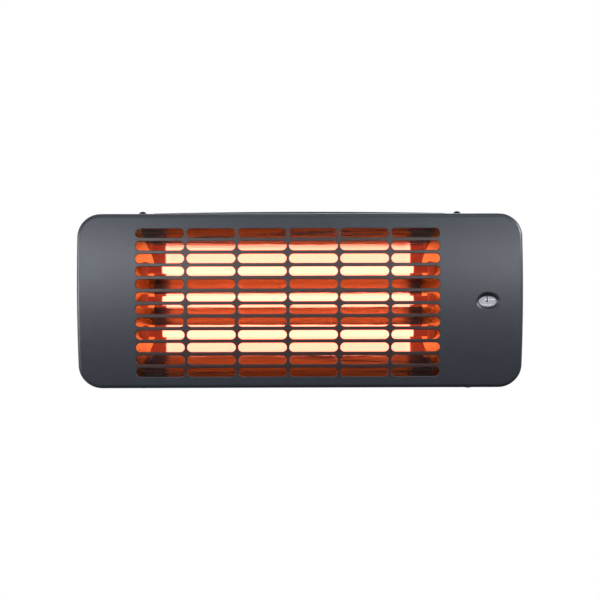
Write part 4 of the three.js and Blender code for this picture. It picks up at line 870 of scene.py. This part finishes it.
def reflector_face(steps=36):
    """The polished face seen from the side, as (y, z) from the upper lip to the lower one."""
    half = TUBE_PITCH / 2
    corners = [Vector((LIP_Y, LIP_Z)), Vector((REFLECTOR_Y - FLANK_KNEE_Y, TUBE_PITCH + FLANK_KNEE_Z)),
               Vector((REFLECTOR_Y, TUBE_PITCH + FLANK_START)), Vector((REFLECTOR_Y, TUBE_PITCH))]
    upper = []
    for i in range(steps):
        t = i / steps
        weights = ((1 - t) ** 3, 3 * t * (1 - t) ** 2, 3 * t * t * (1 - t), t ** 3)
        upper.append(sum((c * w for c, w in zip(corners, weights)), Vector((0, 0))))

    def trough(z):
        return REFLECTOR_Y - RIDGE_HEIGHT * (abs(z) / half) ** RIDGE_POWER

    upper += [Vector((trough(half * i / steps), TUBE_PITCH - half * i / steps)) for i in range(steps)]
    middle = [Vector((trough(half * i / steps), half * i / steps)) for i in range(steps, -steps - 1, -1)]
    lower = [Vector((p.x, -p.y)) for p in reversed(upper)]
    return upper + middle + lower


def reflector():
    """The polished sheet, whose ends follow the splayed end plates."""
    low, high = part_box("reflector")
    face = reflector_face()
    rear = []
    for i, p in enumerate(face):
        one = face[max(i - 1, 0)]
        other = face[min(i + 1, len(face) - 1)]
        across = Vector((one.y - other.y, other.x - one.x)).normalized()
        rear.append(p + across * REFLECTOR_SHEET)
    loop = face + rear[::-1]
    spread = (high.x - low.x) / 2
    middle = (high.x + low.x) / 2
    splay = END_PLATE_SPLAY / (REFLECTOR_Y - (FACE_Y + END_PLATE_FRONT))
    foot = GRILLE_LENGTH / 2 - END_PLATE_INSET - PLAY
    reach = [min(spread, foot + splay * (REFLECTOR_Y - p.x)) for p in loop]
    rings = []
    columns = 24
    for i in range(columns + 1):
        t = 2 * i / columns - 1
        rings.append([Vector((middle + t * far, p.x, TUBE_Z + p.y)) for p, far in zip(loop, reach)])
    return dress(loft("reflector_sheet", rings, degrees=40), mirror_sheet,
                 replaced=["reflector"])


reflector()


# ---- Screws, knobs and other turned pieces -------------------------------------------------------------

def cut_with(piece, cutter):
    """Cuts one mesh from another and applies the result."""
    modifier = piece.modifiers.new("cut", "BOOLEAN")
    modifier.operation = "DIFFERENCE"
    modifier.solver = "EXACT"
    modifier.use_self = True
    modifier.object = cutter
    depsgraph = bpy.context.evaluated_depsgraph_get()
    mesh = bpy.data.meshes.new_from_object(piece.evaluated_get(depsgraph))
    piece.modifiers.clear()
    piece.data = mesh
    bpy.data.objects.remove(cutter)
    return smooth(piece)


def cross_recess(top, size, depth, axis, turn):
    """A cutter for a cross-shaped driver recess, its mouth at top."""
    arm_width, foot = 0.22, 0.55  # shares of the size, and of the mouth at the bottom
    form = bmesh.new()
    along, across, up = AXES[axis.strip("-")]
    sign = -1 if axis.startswith("-") else 1
    across, up = across * math.cos(turn) + up * math.sin(turn), up * math.cos(turn) - across * math.sin(turn)
    for arm, other in ((across, up), (up, across)):
        box = bmesh.ops.create_cube(form, size=1)["verts"]
        for vert in box:
            a, b, c = vert.co
            taper = 1 if c > 0 else foot
            vert.co = (Vector(top) + arm * (a * size * taper) + other * (b * size * arm_width)
                       + along * (sign * c * 2 * depth))
    bmesh.ops.recalc_face_normals(form, faces=form.faces)
    mesh = bpy.data.meshes.new("recess")
    form.to_mesh(mesh)
    form.free()
    return link("recess", mesh)


def cover_screw(edge, end):
    """A domed screw with a cross recess, its head seated where the solid's is."""
    node = f"cover_screw_{edge}_{end}"
    low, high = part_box(node)
    sign = 1 if edge == "top" else -1
    rise = SCREW_HEAD_HEIGHT if sign > 0 else FLUSH_HEAD_HEIGHT
    centre = (low + high) / 2
    centre.z = high.z if sign > 0 else low.z
    centre.z -= sign * (SCREW_HEAD_HEIGHT - rise)
    length = high.z - low.z
    dome = [(SCREW_HEAD_RADIUS * math.cos(a), -rise + rise * math.sin(a))
            for a in (math.pi / 2 * i / 12 for i in range(13))][::-1]
    dome[0] = (0.0, 0.0)
    profile = dome + [(SCREW_SHANK_RADIUS, -rise), (SCREW_SHANK_RADIUS, -length), (0.0, -length)]
    piece = turned("screw_" + edge + "_" + end, "z", centre, profile, sign, radius=0.15 * MM, steps=40)
    turn = {"left": 0.31, "right": 1.12}[end] + (0.4 if sign > 0 else 0)
    proud = 0.3 * MM
    cutter = cross_recess(centre + Vector((0, 0, sign * proud)), 3.2 * MM, 0.35 * rise + proud,
                          "z" if sign > 0 else "-z", turn)
    return dress(cut_with(piece, cutter), black_screw, replaced=[node])


for edge in ("top", "bottom"):
    for end in SIDES:
        cover_screw(edge, end)


def clamp_knob(end):
    """A lobed clamp knob with a blind bore in its inner end."""
    node = "clamp_knob_" + end
    low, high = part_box(node)
    side = SIDES[end]
    centre = (low + high) / 2
    inner = low.x if side > 0 else high.x
    length = high.x - low.x
    reach = (high.y - low.y) / 2
    neck, shoulder, bore, blind = 8 * MM, 6 * MM, 3.3 * MM, length - 3 * MM
    lobes, depth, steps = 6, 1.3 * MM, 96
    brow = length - 0.6 * MM
    # (radius, distance from the inner end, how far it follows the lobes)
    profile = [(bore, blind, 0), (bore, 0, 0), (neck, 0, 0), (neck, shoulder, 0),
               (reach - 0.8 * MM, shoulder, 1), (reach, shoulder + 1 * MM, 1),
               (reach, length - 1.6 * MM, 1), (reach - 0.5 * MM, brow, 1), (reach - 1.8 * MM, length, 1),
               (reach - 4 * MM, length, 0.3), (reach - 5 * MM, brow, 0), (0.01 * MM, brow, 0)]
    rings = []
    for radius, along, lobed in profile:
        ring = []
        for i in range(steps):
            angle = 2 * math.pi * i / steps
            r = radius - lobed * depth / 2 * (1 - math.cos(lobes * angle))
            ring.append(Vector((inner + side * along, centre.y + r * math.cos(angle),
                                centre.z + r * math.sin(angle))))
        rings.append(ring)
    return dress(loft("knob_" + end, rings, closed_ends=True), black_plastic,
                 "knob_" + end, [node])


for end in SIDES:
    clamp_knob(end)


# ---- Solids that stay, with softened edges and their finishes ------------------------------------------

def keep(node, material, edge=0.25 * MM, degrees=30):
    """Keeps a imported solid: its edges are eased and it gets its finish."""
    piece = frame["nodes"][node]
    piece.data.materials.clear()
    piece.data.materials.append(material)
    piece.data.shade_smooth()
    weld = piece.modifiers.new("weld", "WELD")
    weld.merge_threshold = 1e-6
    if edge:
        bevel = piece.modifiers.new("ease", "BEVEL")
        bevel.width = edge
        bevel.segments = 2
        bevel.limit_method = "ANGLE"
        bevel.angle_limit = math.radians(degrees)
        even = piece.modifiers.new("even", "WEIGHTED_NORMAL")
        even.keep_sharp = False
        even.weight = 50
    return piece


keep("wall_bracket", bracket_paint, 0.5 * MM)
keep("rear_shell", shell_paint, 0.5 * MM)
for end in SIDES:
    keep("shell_ear_" + end, bracket_paint)
    keep("pivot_bolt_" + end, zinc)
    keep("friction_washer_" + end, fibre)
    keep("reflector_end_" + end, end_sheet, 0.2 * MM)
    for place in TUBES:
        keep(f"terminal_stud_{place}_{end}", zinc)
for node, material in {
    "drum_shaft": zinc, "switch_body": black_plastic, "pull_lever": white_plastic,
    "lever_spring": spring_steel, "switch_bracket": zinc, "cord_bush": black_plastic,
    "neutral_link": brass, "cable_gland": gland_plastic, "cable_clamp": cream_plastic,
    "clamp_screw_1": zinc, "clamp_screw_2": zinc, "terminal_block": cream_plastic,
    "earth_screw": brass, "thermal_cutout": zinc,
}.items():
    keep(node, material)
for node, material in {
    "live_wire_top": brown_wire, "live_wire_middle": brown_wire, "live_wire_bottom": brown_wire,
    "neutral_wire": blue_wire, "feed_wire": brown_wire, "cutout_wire": brown_wire,
    "earth_wire": earth_wire,
}.items():
    keep(node, material, edge=0)


# ---- Camera, light and background ----------------------------------------------------------------------

PHOTO_SIZE = 600  # pixels, square
FOCAL_PIXELS = 896.2
SENSOR = 36  # mm
CAMERA_DISTANCE = 1.0
CAMERA_ELEVATION = math.radians(1.9)
CAMERA_YAW = math.radians(-0.35)
CAMERA_ROLL = math.radians(-0.13)
AIM_X = -0.35  # pixels from the face's middle to the picture's
AIM_Z = 1.32


def camera():
    data = bpy.data.cameras.new("camera")
    data.sensor_width = SENSOR
    data.lens = SENSOR * FOCAL_PIXELS / PHOTO_SIZE
    eye = bpy.data.objects.new("camera", data)
    bpy.context.scene.collection.objects.link(eye)
    pixel = CAMERA_DISTANCE / FOCAL_PIXELS
    aim = Vector((AIM_X * pixel, FACE_Y, MID_Z + AIM_Z * pixel))
    back = Vector((math.sin(CAMERA_YAW) * math.cos(CAMERA_ELEVATION),
                   -math.cos(CAMERA_YAW) * math.cos(CAMERA_ELEVATION), math.sin(CAMERA_ELEVATION)))
    eye.location = aim + back * CAMERA_DISTANCE
    turn = (-back).to_track_quat("-Z", "Y").to_matrix()
    eye.rotation_euler = (turn @ Matrix.Rotation(CAMERA_ROLL, 3, "Z")).to_euler()
    bpy.context.scene.camera = eye


def area_light(name, place, aim, width, height, power, colour=(1, 1, 1)):
    data = bpy.data.lights.new(name, "AREA")
    data.shape = "RECTANGLE"
    data.size = width
    data.size_y = height
    data.energy = power
    data.color = colour
    lamp = bpy.data.objects.new(name, data)
    bpy.context.scene.collection.objects.link(lamp)
    lamp.location = place
    lamp.rotation_euler = (Vector(aim) - Vector(place)).to_track_quat("-Z", "Y").to_euler()
    return lamp


def world():
    """White behind the heater and wherever the camera looks, and a dim studio in front of it."""
    made = bpy.data.worlds.new("studio")
    bpy.context.scene.world = made
    made.use_nodes = True
    tree = made.node_tree
    tree.nodes.clear()
    ray = add(tree, "LightPath").outputs
    split = add(tree, "SeparateXYZ", Vector=add(tree, "TexCoord").outputs["Generated"])
    behind = span(tree, split.outputs["Y"], 0.3, 0.9)
    shiny = maths(tree, "MAXIMUM", ray["Is Glossy Ray"], ray["Is Transmission Ray"])
    white = maths(tree, "MAXIMUM", ray["Is Camera Ray"], maths(tree, "MULTIPLY", shiny, behind))
    studio_light = span(tree, ray["Is Diffuse Ray"], 0, 1, 0.012, 0.025)
    dim = add(tree, "Background", Color=(0.9, 0.94, 1.0, 1), Strength=studio_light)
    bright = add(tree, "Background", Color=(1, 1, 1, 1))
    both = blended(tree, white, dim.outputs["Background"], bright.outputs["Background"])
    add(tree, "OutputWorld", Surface=both)


def floor():
    """A plain pale floor well below the hanging heater, just outside the photograph's view."""
    level, half, near = -0.62, 1.05, -0.55
    mesh = bpy.data.meshes.new("floor")
    mesh.from_pydata([(-half, near - half, level), (half, near - half, level), (half, near + half, level),
                      (-half, near + half, level)], [], [(0, 1, 2, 3)])
    piece = link("floor", mesh)
    material = bpy.data.materials.new("floor_pale")
    material.use_nodes = True
    tree = material.node_tree
    shader = tree.nodes["Principled BSDF"]
    for socket, value in {"Base Color": (0.86, 0.86, 0.86, 1), "Roughness": 0.9,
                          "Emission Color": (1, 1, 1, 1), "Emission Strength": 0.55}.items():
        shader.inputs[socket].default_value = value
    seen = add(tree, "LightPath").outputs["Is Camera Ray"]
    unseen = add(tree, "BsdfDiffuse", Color=(0.012, 0.012, 0.012, 1))
    both = blended(tree, seen, unseen.outputs["BSDF"], shader.outputs["BSDF"])
    tree.links.new(both, tree.nodes["Material Output"].inputs["Surface"])
    mesh.materials.append(material)
    piece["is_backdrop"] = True
    return piece


COOL = (0.9, 0.95, 1.0)
GLOW_CHAMBER = ("reflector", "quartz", "coil", "cap", "terminal_stud")


def studio(ground):
    """Softboxes for the outside only: the hot chamber lights itself."""
    outside = bpy.data.collections.new("outside")
    bpy.context.scene.collection.children.link(outside)
    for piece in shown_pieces():
        if not piece.name.startswith(GLOW_CHAMBER):
            outside.objects.link(piece)
    outside.objects.link(ground)
    face = (0, FACE_Y, MID_Z)
    lamps = [
        area_light("key_left", (-0.72, -1.6, 0.37), face, 0.8, 0.24, 12.5, COOL),
        area_light("key_right", (0.76, -1.6, 0.37), face, 0.8, 0.24, 10.5, COOL),
        area_light("low_left", (-0.8, -1.6, -0.1), face, 0.8, 0.25, 1.5, COOL),
        area_light("top", (0, -0.5, 1.4), face, 1.4, 0.7, 5, COOL),
        area_light("side_left", (-1.1, -0.45, 0.1), face, 0.3, 0.5, 9, COOL),
        area_light("side_right", (1.1, -0.4, 0.5), face, 0.3, 0.3, 14, COOL),
        area_light("behind", (0, 1.2, 0.7), (0, 0, 0), 1.2, 0.6, 9, COOL),
    ]
    for lamp in lamps:
        lamp.light_linking.receiver_collection = outside


camera()
world()
studio(floor())
bpy.context.scene.view_settings.view_transform = "Standard"
